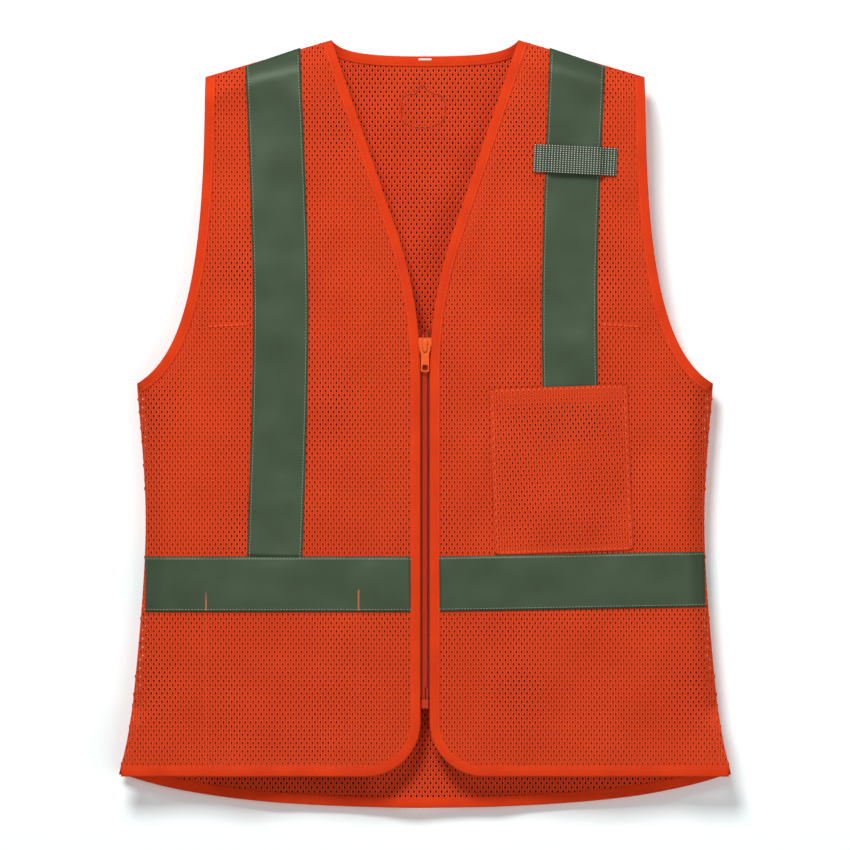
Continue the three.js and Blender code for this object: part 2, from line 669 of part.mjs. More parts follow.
// Zip slider: a front plate that rides over the binding edges, a core between them that holds the
// coils, and a post between the coils. Its own origin is on the chain's middle, at its top end.
const roomY = COIL_THICK / 2 + GAP;
const backFace = roomY + SLIDER_WALL;
const plateBack = CHAIN_SETBACK + BINDING_THICK / 2 + GAP;
const plateFace = plateBack + SLIDER_WALL;
const plateOutline = new THREE.Shape();
const [topX, tailX, turn] = [SLIDER_HALF_WIDTH, SLIDER_TAIL_HALF_WIDTH, SLIDER_CORNER];
plateOutline.moveTo(-topX + turn, 0);
plateOutline.lineTo(topX - turn, 0);
plateOutline.quadraticCurveTo(topX, 0, topX, -turn);
plateOutline.lineTo(topX, -SLIDER_LENGTH / 2);
plateOutline.lineTo(tailX, -SLIDER_LENGTH + turn);
plateOutline.quadraticCurveTo(tailX, -SLIDER_LENGTH, tailX - turn, -SLIDER_LENGTH);
plateOutline.lineTo(-tailX + turn, -SLIDER_LENGTH);
plateOutline.quadraticCurveTo(-tailX, -SLIDER_LENGTH, -tailX, -SLIDER_LENGTH + turn);
plateOutline.lineTo(-topX, -SLIDER_LENGTH / 2);
plateOutline.lineTo(-topX, -turn);
plateOutline.quadraticCurveTo(-topX, 0, -topX + turn, 0);
const beyond = 2 * SLIDER_LENGTH;
const coreHalf = tapeInner + SLIDER_FLANGE;
const core = blockBetween(-coreHalf, coreHalf, -plateBack - GAP, backFace, -SLIDER_LENGTH + GAP, -GAP);
const coilRoom = blockBetween(-tapeInner, tapeInner, -roomY, roomY, -beyond, beyond);
const slotHalf = ZIP_TAPE_THICK / 2 + GAP;
const slotRoom = blockBetween(-beyond, beyond, -slotHalf, slotHalf, -beyond, beyond);
const postHalf = POST_WIDTH / 2;
const postReach = roomY + GAP;
const postTop = -POST_INSET;
const post = blockBetween(-postHalf, postHalf, -postReach, postReach, postTop - POST_LENGTH, postTop);

// The crown is a long low arch on the plate, with rounded ends, that the pull tab's bar turns in.
const barY = plateFace + GAP + BAR_RADIUS;
const archInner = barY + BAR_RADIUS + GAP;
const archOuter = archInner + CROWN_WALL;
const archHalf = CROWN_LENGTH / 2;
const footY = plateFace - GAP;
const arch = new THREE.Shape();
arch.moveTo(-archHalf, footY);
arch.lineTo(-archHalf + CROWN_WALL, footY);
arch.lineTo(-archHalf + CROWN_WALL, barY);
arch.quadraticCurveTo(-archHalf + CROWN_WALL, archInner, -archHalf / 2, archInner);
arch.lineTo(archHalf / 2, archInner);
arch.quadraticCurveTo(archHalf - CROWN_WALL, archInner, archHalf - CROWN_WALL, barY);
arch.lineTo(archHalf - CROWN_WALL, footY);
arch.lineTo(archHalf, footY);
arch.lineTo(archHalf, barY);
arch.quadraticCurveTo(archHalf, archOuter, archHalf / 2, archOuter);
arch.lineTo(-archHalf / 2, archOuter);
arch.quadraticCurveTo(-archHalf, archOuter, -archHalf, barY);
const crownZ = -SLIDER_LENGTH / 2;
const archBlock = new THREE.ExtrudeGeometry(
  arch,
  { depth: CROWN_WIDTH, bevelEnabled: false, curveSegments: CROWN_STEPS },
).translate(0, 0, -CROWN_WIDTH / 2).rotateZ(Math.PI).rotateY(Math.PI / 2);
const crownPlan = roundedRectangle(CROWN_WIDTH, CROWN_LENGTH, CROWN_CORNER);
const crown = solid(archBlock).intersect(slab(crownPlan, -archOuter - GAP, 0));
const slider = new THREE.Group();
slider.position.set(0, CHAIN_Y, -CHAIN_TOP);
rightFront.add(slider);
const sliderBody = solid(core)
  .add(slab(plateOutline, -plateFace, -plateBack))
  .subtract(solid(coilRoom))
  .subtract(solid(slotRoom))
  .add(solid(post))
  .add(solid(geometryOf(crown).translate(0, 0, crownZ)));
piece(slider, 'zip_slider', sliderBody, COLOURS.zip, CAST_ROUGHNESS, CAST_METALNESS);

// Pull tab: a bar through the crown, a fork beside it and a plate with a hole, hanging from the bar.
const pullOutline = new THREE.Shape();
const [forkX, pullX, foot] = [FORK_WIDTH / 2, PULL_WIDTH / 2, -PULL_LENGTH];
pullOutline.moveTo(-forkX, 0);
pullOutline.lineTo(forkX, 0);
pullOutline.lineTo(forkX, -FORK_LENGTH / 2);
pullOutline.lineTo(pullX, -FORK_LENGTH);
pullOutline.lineTo(pullX, foot + turn);
pullOutline.quadraticCurveTo(pullX, foot, pullX - turn, foot);
pullOutline.lineTo(-pullX + turn, foot);
pullOutline.quadraticCurveTo(-pullX, foot, -pullX, foot + turn);
pullOutline.lineTo(-pullX, -FORK_LENGTH);
pullOutline.lineTo(-forkX, -FORK_LENGTH / 2);
const crownRoom = slab(
  roundedRectangle(CROWN_WIDTH + 2 * GAP, CROWN_LENGTH + 2 * GAP, CROWN_WIDTH / 2),
  -beyond,
  beyond,
);
const gripHole = geometryOf(slab(roundedRectangle(PULL_HOLE, PULL_HOLE, turn), -beyond, beyond))
  .translate(0, 0, foot + PULL_RIM + PULL_HOLE / 2);
const bar = new THREE.CylinderGeometry(BAR_RADIUS, BAR_RADIUS, FORK_WIDTH, BAR_SIDES)
  .rotateZ(Math.PI / 2);
const pullBody = slab(pullOutline, -PULL_THICK / 2, PULL_THICK / 2)
  .subtract(crownRoom)
  .subtract(solid(gripHole))
  .add(solid(bar));
const pull = piece(slider, 'zip_pull_tab', pullBody, COLOURS.zip, CAST_ROUGHNESS, CAST_METALNESS);
pull.position.set(0, -barY, crownZ);

export default vest;
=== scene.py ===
# A sleeveless high visibility vest of perforated mesh cloth, with edge bindings, retroreflective
# tapes, two pockets, a webbing tab and a separating zip. Metres, +Z up, its front faces -Y, and +X is
# the wearer's left. Each cloth piece is laid out flat, as it was cut, and then hung in its place.
import math

import bmesh
import bpy
import numpy as np
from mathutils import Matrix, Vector


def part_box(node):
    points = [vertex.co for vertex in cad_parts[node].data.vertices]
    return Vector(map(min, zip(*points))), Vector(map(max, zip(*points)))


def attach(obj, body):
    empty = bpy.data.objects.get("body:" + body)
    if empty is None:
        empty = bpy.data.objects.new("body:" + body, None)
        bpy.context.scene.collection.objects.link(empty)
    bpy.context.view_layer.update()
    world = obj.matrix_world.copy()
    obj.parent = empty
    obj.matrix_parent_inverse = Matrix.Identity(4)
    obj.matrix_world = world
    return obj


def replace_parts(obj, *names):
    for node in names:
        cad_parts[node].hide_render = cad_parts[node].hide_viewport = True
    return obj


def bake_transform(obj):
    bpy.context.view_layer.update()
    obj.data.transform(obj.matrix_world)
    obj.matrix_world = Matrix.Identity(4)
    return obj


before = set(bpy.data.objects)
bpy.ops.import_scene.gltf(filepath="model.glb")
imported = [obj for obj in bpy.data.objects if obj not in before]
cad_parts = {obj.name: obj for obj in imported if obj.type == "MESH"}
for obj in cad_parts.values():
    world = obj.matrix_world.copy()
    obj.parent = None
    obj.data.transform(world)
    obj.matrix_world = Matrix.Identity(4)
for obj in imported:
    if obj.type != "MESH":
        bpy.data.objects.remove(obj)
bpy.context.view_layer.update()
MM = 0.001


# ---- How the cloth hangs ----
# Two layers that stand apart over the body and roll together at the shoulder and side seams. They
# hang in shallow folds that die out at the shoulder and side seams and, on the fronts, at the zip.
def low(node):
    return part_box(node)[0]


def high(node):
    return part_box(node)[1]


NECK_HALF = 86 * MM
BACK_LENGTH = -low("back_hem_binding").z
HEM_HALF = high("back_hem_binding").x
FRONT_HEM = -low("left_edge_binding").z
FRONT_EDGE = low("left_edge_binding").x
FRONT_DROP = 2 * MM
SIDE_LENGTH = FRONT_HEM - FRONT_DROP
SHOULDER_HALF = 202 * MM
SHOULDER_DROP = 34 * MM
CHEST_HALF = 265 * MM
ARMHOLE_DEPTH = 316 * MM
WAIST_HALF = 257 * MM
WAIST_DEPTH = 450 * MM
VENT_LENGTH = 63 * MM
VENT_FLARE = 12 * MM
NECK_DROP = 14.3 * MM
SEAM_Y = 0.65 * MM
HALF_DEPTH = 12.5 * MM
ROLL = 22 * MM
FRONT, BACK = -1, 1


def bezier(points, count):
    """A Bezier curve of any degree through the plane, as count + 1 points."""
    t = np.linspace(0, 1, count + 1)[:, None]
    rows = [np.tile(p, (count + 1, 1)) for p in points]
    while len(rows) > 1:
        rows = [a * (1 - t) + b * t for a, b in zip(rows, rows[1:])]
    return rows[0]


def spline(points, count):
    """A smooth curve through every point, with the ends held."""
    padded = np.array([points[0], *points, points[-1]], float)
    curve = []
    for t in np.linspace(0, len(points) - 1, count + 1):
        i = min(int(t), len(points) - 2)
        w = t - i
        a, b, c, d = padded[i:i + 4]
        start, end = (c - a) / 2, (d - b) / 2
        curve.append(
            (2 * b - 2 * c + start + end) * w**3 + (3 * c - 3 * b - 2 * start - end) * w**2 + start * w + b
        )
    return np.array(curve)


def even(line, step):
    """The same line with its points a step apart."""
    line = np.asarray(line, float)
    run = np.concatenate([[0], np.cumsum(np.hypot(*np.diff(line, axis=0).T))])
    at = np.linspace(0, run[-1], max(2, int(round(run[-1] / step)) + 1))
    return np.stack([np.interp(at, run, line[:, i]) for i in range(2)], 1)


def nearest(line, points):
    """The nearest point of a line to each point, and how far away it is."""
    best = np.full(len(points), np.inf)
    foot = np.zeros_like(points)
    for a, b in zip(line, line[1:]):
        along = b - a
        t = np.clip(((points - a) @ along) / max(along @ along, 1e-12), 0, 1)
        at = a + t[:, None] * along
        gap = np.hypot(*(points - at).T)
        closer = gap < best
        best[closer] = gap[closer]
        foot[closer] = at[closer]
    return foot, best


def smooth(t):
    t = np.clip(t, 0, 1)
    return t * t * (3 - 2 * t)


VENT_TOP = SIDE_LENGTH - VENT_LENGTH
SHOULDER = np.array([[NECK_HALF, 0], [SHOULDER_HALF, -SHOULDER_DROP]])
UNDERARM = (CHEST_HALF, -ARMHOLE_DEPTH)
SIDE = spline(
    [UNDERARM, (WAIST_HALF, -WAIST_DEPTH), (HEM_HALF - VENT_FLARE, -VENT_TOP), (HEM_HALF, -SIDE_LENGTH)], 60
)
SIDE_SEAM = SIDE[SIDE[:, 1] >= -VENT_TOP - 1e-6]

# Shallow folds: wave numbers across and down in radians a metre, height, and phase.
FOLDS = (
    (38, 5, 1.5 * MM, 0.4),
    (57, -14, 1.1 * MM, 2.1),
    (24, 19, 1.3 * MM, 4.0),
    (88, 22, 0.5 * MM, 1.2),
    (-61, 47, 0.55 * MM, 5.2),
    (31, 120, 0.35 * MM, 0.9),
    (150, -75, 0.22 * MM, 3.3),
)
CALM = 45 * MM
ZIP_CALM = 16 * MM


def folds(x, z, facing):
    """How far the cloth swings out of its plain shape at a place."""
    flat = np.stack([np.abs(x), z], 1)
    still = smooth(np.minimum(nearest(SHOULDER, flat)[1], nearest(SIDE_SEAM, flat)[1]) / CALM)
    if facing == FRONT:
        still = still * smooth((np.abs(x) - ZIP_CALM) / CALM)
    swing = np.zeros(len(x))
    for i, (across, down, height, phase) in enumerate(FOLDS):
        bend = 0.35 * np.sin(9 * z + i) + 0.25 * np.sin(13 * x - 2 * i)
        swing += height * np.sin(across * x + down * z + phase + facing + bend)
    return still * swing


def stand_off(x, z):
    flat = np.stack([np.abs(x), z], 1)
    reach = np.minimum(np.minimum(nearest(SHOULDER, flat)[1], nearest(SIDE_SEAM, flat)[1]), ROLL)
    return SEAM_Y + HALF_DEPTH * np.sin(math.pi / 2 * reach / ROLL)


def hung(flat, facing):
    """Flat cloth (across, height, lift from the cloth's middle) hung on its side of the vest."""
    x, z, lift = flat.T
    off = stand_off(x, z) + lift + folds(x, z, facing)
    return np.stack([x, facing * np.maximum(off, 0.2 * MM), z], 1)


def mark_cloth(mesh, places):
    """Stores each point's place on the flat cloth, which the cloth materials read."""
    attribute = mesh.attributes.new("cloth", "FLOAT_VECTOR", "POINT")
    attribute.data.foreach_set("vector", np.asarray(places, np.float32).ravel())


def made(name, points, faces, material, cloth=None):
    """A mesh object at the origin. Its attribute cloth is each point's place on the flat cloth."""
    mesh = bpy.data.meshes.new(name)
    mesh.from_pydata(np.asarray(points).tolist(), [], [list(map(int, f)) for f in faces])
    mesh.materials.append(material)
    if cloth is not None:
        mark_cloth(mesh, cloth)
    mesh.shade_smooth()
    obj = bpy.data.objects.new(name, mesh)
    bpy.context.scene.collection.objects.link(obj)
    return obj


def tube_faces(rings, sides):
    """The faces between rings of points, and a cap at each end."""
    faces = [
        (i * sides + j, i * sides + (j + 1) % sides, (i + 1) * sides + (j + 1) % sides, (i + 1) * sides + j)
        for i in range(rings - 1) for j in range(sides)
    ]
    return faces + [range(sides), range((rings - 1) * sides, rings * sides)]


def outward(obj):
    """Turns a closed mesh's faces outwards."""
    work = bmesh.new()
    work.from_mesh(obj.data)
    bmesh.ops.recalc_face_normals(work, faces=work.faces)
    work.to_mesh(obj.data)
    work.free()
    return obj


def where(obj):
    co = np.zeros(len(obj.data.vertices) * 3, np.float32)
    obj.data.vertices.foreach_get("co", co)
    return co.reshape(-1, 3).astype(float)


def put(obj, points):
    obj.data.vertices.foreach_set("co", np.asarray(points, np.float32).ravel())
    obj.data.update()
    return obj


def mirrored(line):
    """The same flat line on the other side, kept in its own direction."""
    return np.asarray(line) * (-1, 1)


# Each front folds open along a line from its neck edge to its hem, and the cloth turns over a strip
# beside that line. No fold is made here.
V_DEPTH = 308 * MM
V_ROUNDING = 68 * MM
HANDS = {"left": 1, "right": -1}


def folding(obj):
    """Bakes the piece's placement into its mesh. The piece is not cut at the fold line or given to a body.
    """
    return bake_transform(obj)


# ---- Mesh cloth: back and two fronts ----
# Warp knitted polyester mesh, dyed fluorescent orange. The knit leaves tall narrow holes in
# staggered rows, a thicker rib of loops on both sides of each hole and plain knit between.
HOLE_PITCH = 4.93 * MM
ROW_PITCH = 3.8 * MM
HOLE_HALF_WIDTH = 0.78 * MM
HOLE_HALF_HEIGHT = 1.4 * MM
RIB_LIFT = 0.22 * MM
COURSE = 0.62 * MM
INSIDE_BINDING = 5 * MM
BACK_STRETCH = 1.035
NECK_CORNER = 42 * MM
TAIL_SWEEP = 200 * MM
FRONT_CORNER = 50 * MM
HEM_END_INSET = 2 * MM
CURVE_STEPS = 40
ARMHOLE_STRAIGHT = 116 * MM
ARMHOLE_SCOOP = 58 * MM
ARMHOLE_RISE = 31 * MM
BACK_NECK_SLOPE = 0.9
BRACE_TOP = 141 * MM
BRACE_MIDDLE = (132.5 * MM, -240 * MM)
BRACE_BOTTOM = 138 * MM
BRACE_OVERRUN = 8 * MM


def colour(code):
    """An sRGB hex colour as linear red, green, blue and alpha."""
    parts = [int(code[i:i + 2], 16) / 255 for i in (1, 3, 5)]
    return [p / 12.92 if p <= 0.04045 else ((p + 0.055) / 1.055) ** 2.4 for p in parts] + [1]


def add(tree, kind, inputs=(), **settings):
    """Adds a node with its settings. Inputs are values, or sockets that are linked."""
    made_node = tree.nodes.new(kind)
    for name, value in settings.items():
        setattr(made_node, name, value)
    for key, value in dict(inputs).items():
        if isinstance(value, bpy.types.NodeSocket):
            tree.links.new(value, made_node.inputs[key])
        else:
            made_node.inputs[key].default_value = value
    return made_node


def new_material(name):
    """An empty material, its tree and its shader."""
    material = bpy.data.materials.new(name)
    material.use_nodes = True
    tree = material.node_tree
    tree.nodes.clear()
    shader = add(tree, "ShaderNodeBsdfPrincipled")
    add(tree, "ShaderNodeOutputMaterial", {"Surface": shader.outputs["BSDF"]})
    return material, tree, shader


def set_up(shader, **sockets):
    for name, value in sockets.items():
        shader.inputs[name.replace("_", " ")].default_value = value


def knit_material(name, face, deep):
    """Mesh knit: ribs beside the holes in a brighter colour than the deeper ground, a painted highlight on
    their real relief, a soft matt pile, fine courses.
    """
    material, tree, shader = new_material(name)
    set_up(shader, Roughness=0.85, IOR=1.5, Sheen_Weight=0.15, Sheen_Roughness=0.5)
    shader.inputs["Sheen Tint"].default_value = colour("#ff7a40")
    shader.inputs["Specular IOR Level"].default_value = 0.12
    place = add(tree, "ShaderNodeAttribute", attribute_name="cloth").outputs["Vector"]
    near = []
    for shift in (0.5, 0.0):
        cell = add(
            tree, "ShaderNodeVectorMath",
            {0: place, 1: (1 / HOLE_PITCH, 1 / (2 * ROW_PITCH), 0), 2: (shift, shift, 0)},
            operation="MULTIPLY_ADD",
        )
        share = add(tree, "ShaderNodeVectorMath", {0: cell.outputs[0]}, operation="FRACTION")
        centred = add(
            tree, "ShaderNodeVectorMath",
            {0: share.outputs[0], 1: (0.5, 0.5, 0)}, operation="SUBTRACT",
        )
        reach = (HOLE_PITCH / HOLE_HALF_WIDTH / 2, 2 * ROW_PITCH / HOLE_HALF_HEIGHT / 1.2, 0)
        scaled = add(
            tree, "ShaderNodeVectorMath", {0: centred.outputs[0], 1: reach}, operation="MULTIPLY"
        )
        length = add(tree, "ShaderNodeVectorMath", {0: scaled.outputs[0]}, operation="LENGTH")
        near.append(length.outputs["Value"])
    hole = add(tree, "ShaderNodeMath", {0: near[0], 1: near[1]}, operation="MINIMUM").outputs[0]
    rib = add(
        tree, "ShaderNodeMapRange",
        {"Value": hole, "From Min": 0.65, "From Max": 1.5, "To Min": 1, "To Max": 0},
        interpolation_type="SMOOTHSTEP",
    ).outputs[0]
    courses = add(
        tree, "ShaderNodeTexWave",
        {"Vector": place, "Scale": 0.314 / COURSE, "Distortion": 2.5, "Detail": 1, "Detail Scale": 900},
        wave_type="BANDS", bands_direction="DIAGONAL",
    ).outputs["Fac"]
    shade = add(tree, "ShaderNodeTexNoise", {"Vector": place, "Scale": 16, "Detail": 3}).outputs["Fac"]
    blend = 0.0
    for part, weight in ((rib, 0.75), (courses, 0.22), (shade, 0.3)):
        blend = add(
            tree, "ShaderNodeMath", {0: part, 1: weight, 2: blend}, operation="MULTIPLY_ADD"
        ).outputs[0]
    # Painted highlight: the ribs beside the holes take the brighter colour.
    ramp = add(tree, "ShaderNodeValToRGB", {"Fac": blend})
    ramp.color_ramp.elements[0].color = colour(deep)
    ramp.color_ramp.elements[1].color = colour(face)
    tree.links.new(ramp.outputs["Color"], shader.inputs["Base Color"])
    height = add(tree, "ShaderNodeMath", {0: courses, 1: 0.35, 2: rib}, operation="MULTIPLY_ADD").outputs[0]
    bump = add(tree, "ShaderNodeBump", {"Height": height, "Strength": 0.7, "Distance": 0.35 * MM})
    tree.links.new(bump.outputs[0], shader.inputs["Normal"])
    return material


# The first colour is the painted highlight on the ribs beside the holes, the second the ground.
mesh_cloth = knit_material("warp_knit_polyester_mesh", "#f7562a", "#ba2709")
# The same mesh in darker colours, for cloth turned in behind another layer: painted shade.
shade_darkened_mesh = knit_material("turned_in_polyester_mesh", "#c63a18", "#8e1e08")

ring = [(0, 1), (1, 1), (1, -1), (0, -1), (-1, -1), (-1, 1)]
cell_edge = [(x * HOLE_PITCH / 2, z * ROW_PITCH / 2, 0) for x, z in ring]
hole_edge = [
    (x * HOLE_HALF_WIDTH, z * HOLE_HALF_HEIGHT * (1 if x == 0 else 0.5), RIB_LIFT) for x, z in ring
]


def knit_cell(name, points, faces):
    """One repeat of the knit. Its attribute outer marks the points it shares with the next ones."""
    obj = made(name, points, faces, mesh_cloth)
    outer = [1.0 if i < len(cell_edge) else 0.0 for i in range(len(points))]
    obj.data.attributes.new("outer", "FLOAT", "POINT").data.foreach_set("value", outer)
    return obj


around = [(i, (i + 1) % 6, (i + 1) % 6 + 6, i + 6) for i in range(6)]
open_cell = knit_cell("open_cell", cell_edge + hole_edge, [f[::-1] for f in around])
plain_cell = knit_cell("plain_cell", cell_edge, [(5, 4, 3, 2, 1, 0)])


def node_group(name, inputs):
    """A Geometry Nodes tree with named inputs, and its input and output nodes."""
    tree = bpy.data.node_groups.new(name, "GeometryNodeTree")
    for label, kind in inputs.items():
        tree.interface.new_socket(name=label, in_out="INPUT", socket_type=f"NodeSocket{kind}")
    tree.interface.new_socket(name="Geometry", in_out="OUTPUT", socket_type="NodeSocketGeometry")
    return tree, add(tree, "NodeGroupInput").outputs


def baked(obj, tree, name, **values):
    """Runs a tree on an object, and returns the result as a plain mesh object."""
    modifier = obj.modifiers.new(tree.name, "NODES")
    modifier.node_group = tree
    for item in tree.interface.items_tree:
        if item.in_out == "INPUT" and item.name.replace(" ", "_") in values:
            modifier[item.identifier] = values[item.name.replace(" ", "_")]
    graph = bpy.context.evaluated_depsgraph_get()
    mesh = bpy.data.meshes.new_from_object(obj.evaluated_get(graph), depsgraph=graph)
    mesh.name = name
    bpy.data.objects.remove(obj)
    result = bpy.data.objects.new(name, mesh)
    bpy.context.scene.collection.objects.link(result)
    mesh.shade_smooth()
    return result


# The lattice of the knit: cells in staggered rows wherever their middle is on the cloth, plain where
# a tape covers it.
knit, given = node_group("perforated_knit", {
    "Cloth": "Geometry", "Covered": "Object", "Open cell": "Object", "Plain cell": "Object",
    "Columns": "Int", "Rows": "Int", "Pitch": "Float", "Row pitch": "Float", "Corner": "Vector",
    "Material": "Material",
})
wide, tall = [
    add(knit, "ShaderNodeMath", {0: given[many], 1: given[gap]}, operation="MULTIPLY").outputs[0]
    for many, gap in (("Columns", "Pitch"), ("Rows", "Row pitch"))
]
column_points, row_points = [
    add(knit, "ShaderNodeMath", {0: given[many], 1: 1.0}, operation="ADD").outputs[0]
    for many in ("Columns", "Rows")
]
lattice = add(knit, "GeometryNodeMeshGrid", {
    "Size X": wide, "Size Y": tall, "Vertices X": column_points, "Vertices Y": row_points,
}).outputs["Mesh"]
here = add(knit, "GeometryNodeInputPosition").outputs[0]
half = add(knit, "ShaderNodeCombineXYZ", {"X": wide, "Y": tall}).outputs[0]
from_corner = add(
    knit, "ShaderNodeVectorMath", {0: half, 1: (0.5, 0.5, 0), 2: here}, operation="MULTIPLY_ADD"
).outputs[0]
height = add(knit, "ShaderNodeSeparateXYZ", {0: from_corner}).outputs["Y"]
row = add(knit, "ShaderNodeMath", {0: height, 1: given["Row pitch"]}, operation="DIVIDE").outputs[0]
row = add(knit, "ShaderNodeMath", {0: row}, operation="ROUND").outputs[0]
odd = add(knit, "ShaderNodeMath", {0: row, 1: 2.0}, operation="MODULO").outputs[0]
stagger = add(knit, "ShaderNodeMath", {0: odd, 1: given["Pitch"]}, operation="MULTIPLY").outputs[0]
stagger = add(knit, "ShaderNodeMath", {0: stagger, 1: 0.5}, operation="MULTIPLY").outputs[0]
shift = add(knit, "ShaderNodeCombineXYZ", {"X": stagger}).outputs[0]
target = add(knit, "ShaderNodeVectorMath", {0: from_corner, 1: shift}, operation="ADD").outputs[0]
target = add(knit, "ShaderNodeVectorMath", {0: target, 1: given["Corner"]}, operation="ADD").outputs[0]
placed = add(knit, "GeometryNodeSetPosition", {"Geometry": lattice, "Position": target}).outputs[0]
above = add(knit, "ShaderNodeVectorMath", {0: here, 1: (0, 0, 1)}, operation="ADD").outputs[0]
cover = add(knit, "GeometryNodeObjectInfo", {"Object": given["Covered"]}).outputs["Geometry"]
hits = [
    add(knit, "GeometryNodeRaycast", {
        "Target Geometry": cloth, "Source Position": above, "Ray Direction": (0, 0, -1), "Ray Length": 2,
    }).outputs["Is Hit"]
    for cloth in (given["Cloth"], cover)
]
missed = add(knit, "FunctionNodeBooleanMath", {0: hits[0]}, operation="NOT").outputs[0]
kept = add(knit, "GeometryNodeDeleteGeometry", {"Geometry": placed, "Selection": missed}).outputs[0]
uncovered = add(knit, "FunctionNodeBooleanMath", {0: hits[1]}, operation="NOT").outputs[0]
joined = add(knit, "GeometryNodeJoinGeometry")
for label, chosen in (("Open cell", uncovered), ("Plain cell", hits[1])):
    cell = add(knit, "GeometryNodeObjectInfo", {"Object": given[label]}).outputs["Geometry"]
    copies = add(knit, "GeometryNodeInstanceOnPoints", {
        "Points": kept, "Selection": chosen, "Instance": cell,
    }).outputs[0]
    knit.links.new(copies, joined.inputs[0])
real = add(knit, "GeometryNodeRealizeInstances", {0: joined.outputs[0]}).outputs[0]
merged = add(knit, "GeometryNodeMergeByDistance", {"Geometry": real, "Distance": 0.02 * MM}).outputs[0]
finished = add(knit, "GeometryNodeSetMaterial", {"Geometry": merged, "Material": given["Material"]})
add(knit, "NodeGroupOutput", {0: finished.outputs[0]})


def flat_face(name, outline):
    """A flat outline, or several, as a face each."""
    points, faces = [], []
    for line in outline:
        faces.append(list(range(len(points), len(points) + len(line))))
        points += [(x, z, 0) for x, z in line]
    return made(name, points, faces, mesh_cloth)


def perforated(name, outline, covered=(), stretch=1.0):
    """Mesh cloth cut to an outline, flat, its cut edge following the outline."""
    outline = np.asarray(outline, float) / stretch
    covered = [np.asarray(line) / stretch for line in covered]
    ends = np.array([outline.min(0), outline.max(0)])
    steps = np.array([HOLE_PITCH, 2 * ROW_PITCH])
    corner = np.floor(ends[0] / steps - 1) * steps
    counts = np.ceil((ends[1] - corner) / steps + 1).astype(int)
    cover = flat_face("covered", covered)
    obj = baked(
        flat_face(name, [outline]), knit, name, Covered=cover, Open_cell=open_cell, Plain_cell=plain_cell,
        Columns=int(counts[0]), Rows=int(counts[1] * 2), Pitch=HOLE_PITCH, Row_pitch=ROW_PITCH,
        Corner=(*corner, 0), Material=mesh_cloth,
    )
    bpy.data.objects.remove(cover)
    mesh = obj.data
    flat = where(obj)
    mark_cloth(mesh, flat * (1, 1, 0))
    outer = np.zeros(len(flat), np.float32)
    mesh.attributes["outer"].data.foreach_get("value", outer)
    loops = np.zeros(len(mesh.loops), int)
    mesh.loops.foreach_get("edge_index", loops)
    single = np.bincount(loops, minlength=len(mesh.edges)) == 1
    ends_of = np.zeros(len(mesh.edges) * 2, int)
    mesh.edges.foreach_get("vertices", ends_of)
    border = np.unique(ends_of.reshape(-1, 2)[single])
    border = border[outer[border] > 0.5]
    closed = np.vstack([outline, outline[:1]])
    flat[border, :2] = nearest(closed, flat[border, :2])[0]
    mesh.attributes.remove(mesh.attributes["outer"])
    return put(obj, flat * (stretch, stretch, 1))


def hang(obj, facing):
    """Hangs a flat open sheet, and turns its faces over where the back shows its other side."""
    put(obj, hung(where(obj), facing))
    if facing == BACK:
        obj.data.flip_normals()
    return obj


def beside(line, distance):
    """The line a distance to the right of its own direction."""
    tangent = np.gradient(np.asarray(line, float), axis=0)
    tangent /= np.hypot(*tangent.T)[:, None]
    return line + np.stack([tangent[:, 1], -tangent[:, 0]], 1) * distance


ARMHOLE = bezier([
    (SHOULDER_HALF, -SHOULDER_DROP),
    (SHOULDER_HALF + 1 * MM, -SHOULDER_DROP - ARMHOLE_STRAIGHT),
    (CHEST_HALF - ARMHOLE_SCOOP, -ARMHOLE_DEPTH + ARMHOLE_RISE),
    UNDERARM,
], CURVE_STEPS)
NECK = bezier([
    (0, -NECK_DROP),
    (NECK_HALF - NECK_CORNER, -NECK_DROP),
    (NECK_HALF - NECK_CORNER / 4, -NECK_DROP * BACK_NECK_SLOPE),
    (NECK_HALF, 0),
], CURVE_STEPS)
TAIL = bezier([(HEM_HALF, -SIDE_LENGTH), (TAIL_SWEEP, -BACK_LENGTH), (0, -BACK_LENGTH)], CURVE_STEPS)
v_foot = np.array([FRONT_EDGE, -V_DEPTH + V_ROUNDING])
v_rise = np.array([NECK_HALF, 0]) - v_foot
v_start = v_foot + v_rise * V_ROUNDING / np.hypot(*v_rise)
turn = np.linspace(math.pi, 1.5 * math.pi, CURVE_STEPS)
corner_arc = np.stack([
    FRONT_EDGE + FRONT_CORNER + FRONT_CORNER * np.cos(turn),
    -FRONT_HEM + FRONT_CORNER + FRONT_CORNER * np.sin(turn),
], 1)
EDGE = even(np.vstack([
    [(NECK_HALF, 0)],
    bezier([v_start, v_foot, (FRONT_EDGE, -V_DEPTH)], CURVE_STEPS),
    corner_arc,
    [(HEM_HALF - HEM_END_INSET, -FRONT_HEM)],
]), 4 * MM)

armhole_cut = beside(ARMHOLE, INSIDE_BINDING)
edge_cut = beside(EDGE, -INSIDE_BINDING)
side_cut = SIDE[3:]
front_outline = np.vstack([edge_cut, side_cut[::-1], armhole_cut[::-1]])
neck_cut = beside(NECK, INSIDE_BINDING)
tail_cut = beside(TAIL, INSIDE_BINDING)
half_back = np.vstack([neck_cut, armhole_cut, side_cut[:-1], tail_cut])
back_outline = np.vstack([half_back, mirrored(half_back)[::-1][1:-1]])

# Retroreflective tapes cover the cloth. Their places are here because the knit is plain under them.
TAPE_WIDTH = 50.8 * MM
WAIST_TAPE_TOP = 475 * MM
LEFT_WAIST_RISE = 5 * MM
LEFT_BRACE_END = 369 * MM
HIDDEN_INSET = 4 * MM
brace_points = [(BRACE_TOP, BRACE_OVERRUN), BRACE_MIDDLE, (BRACE_BOTTOM, -WAIST_TAPE_TOP)]
brace = even(spline(brace_points, CURVE_STEPS), 1 * MM)


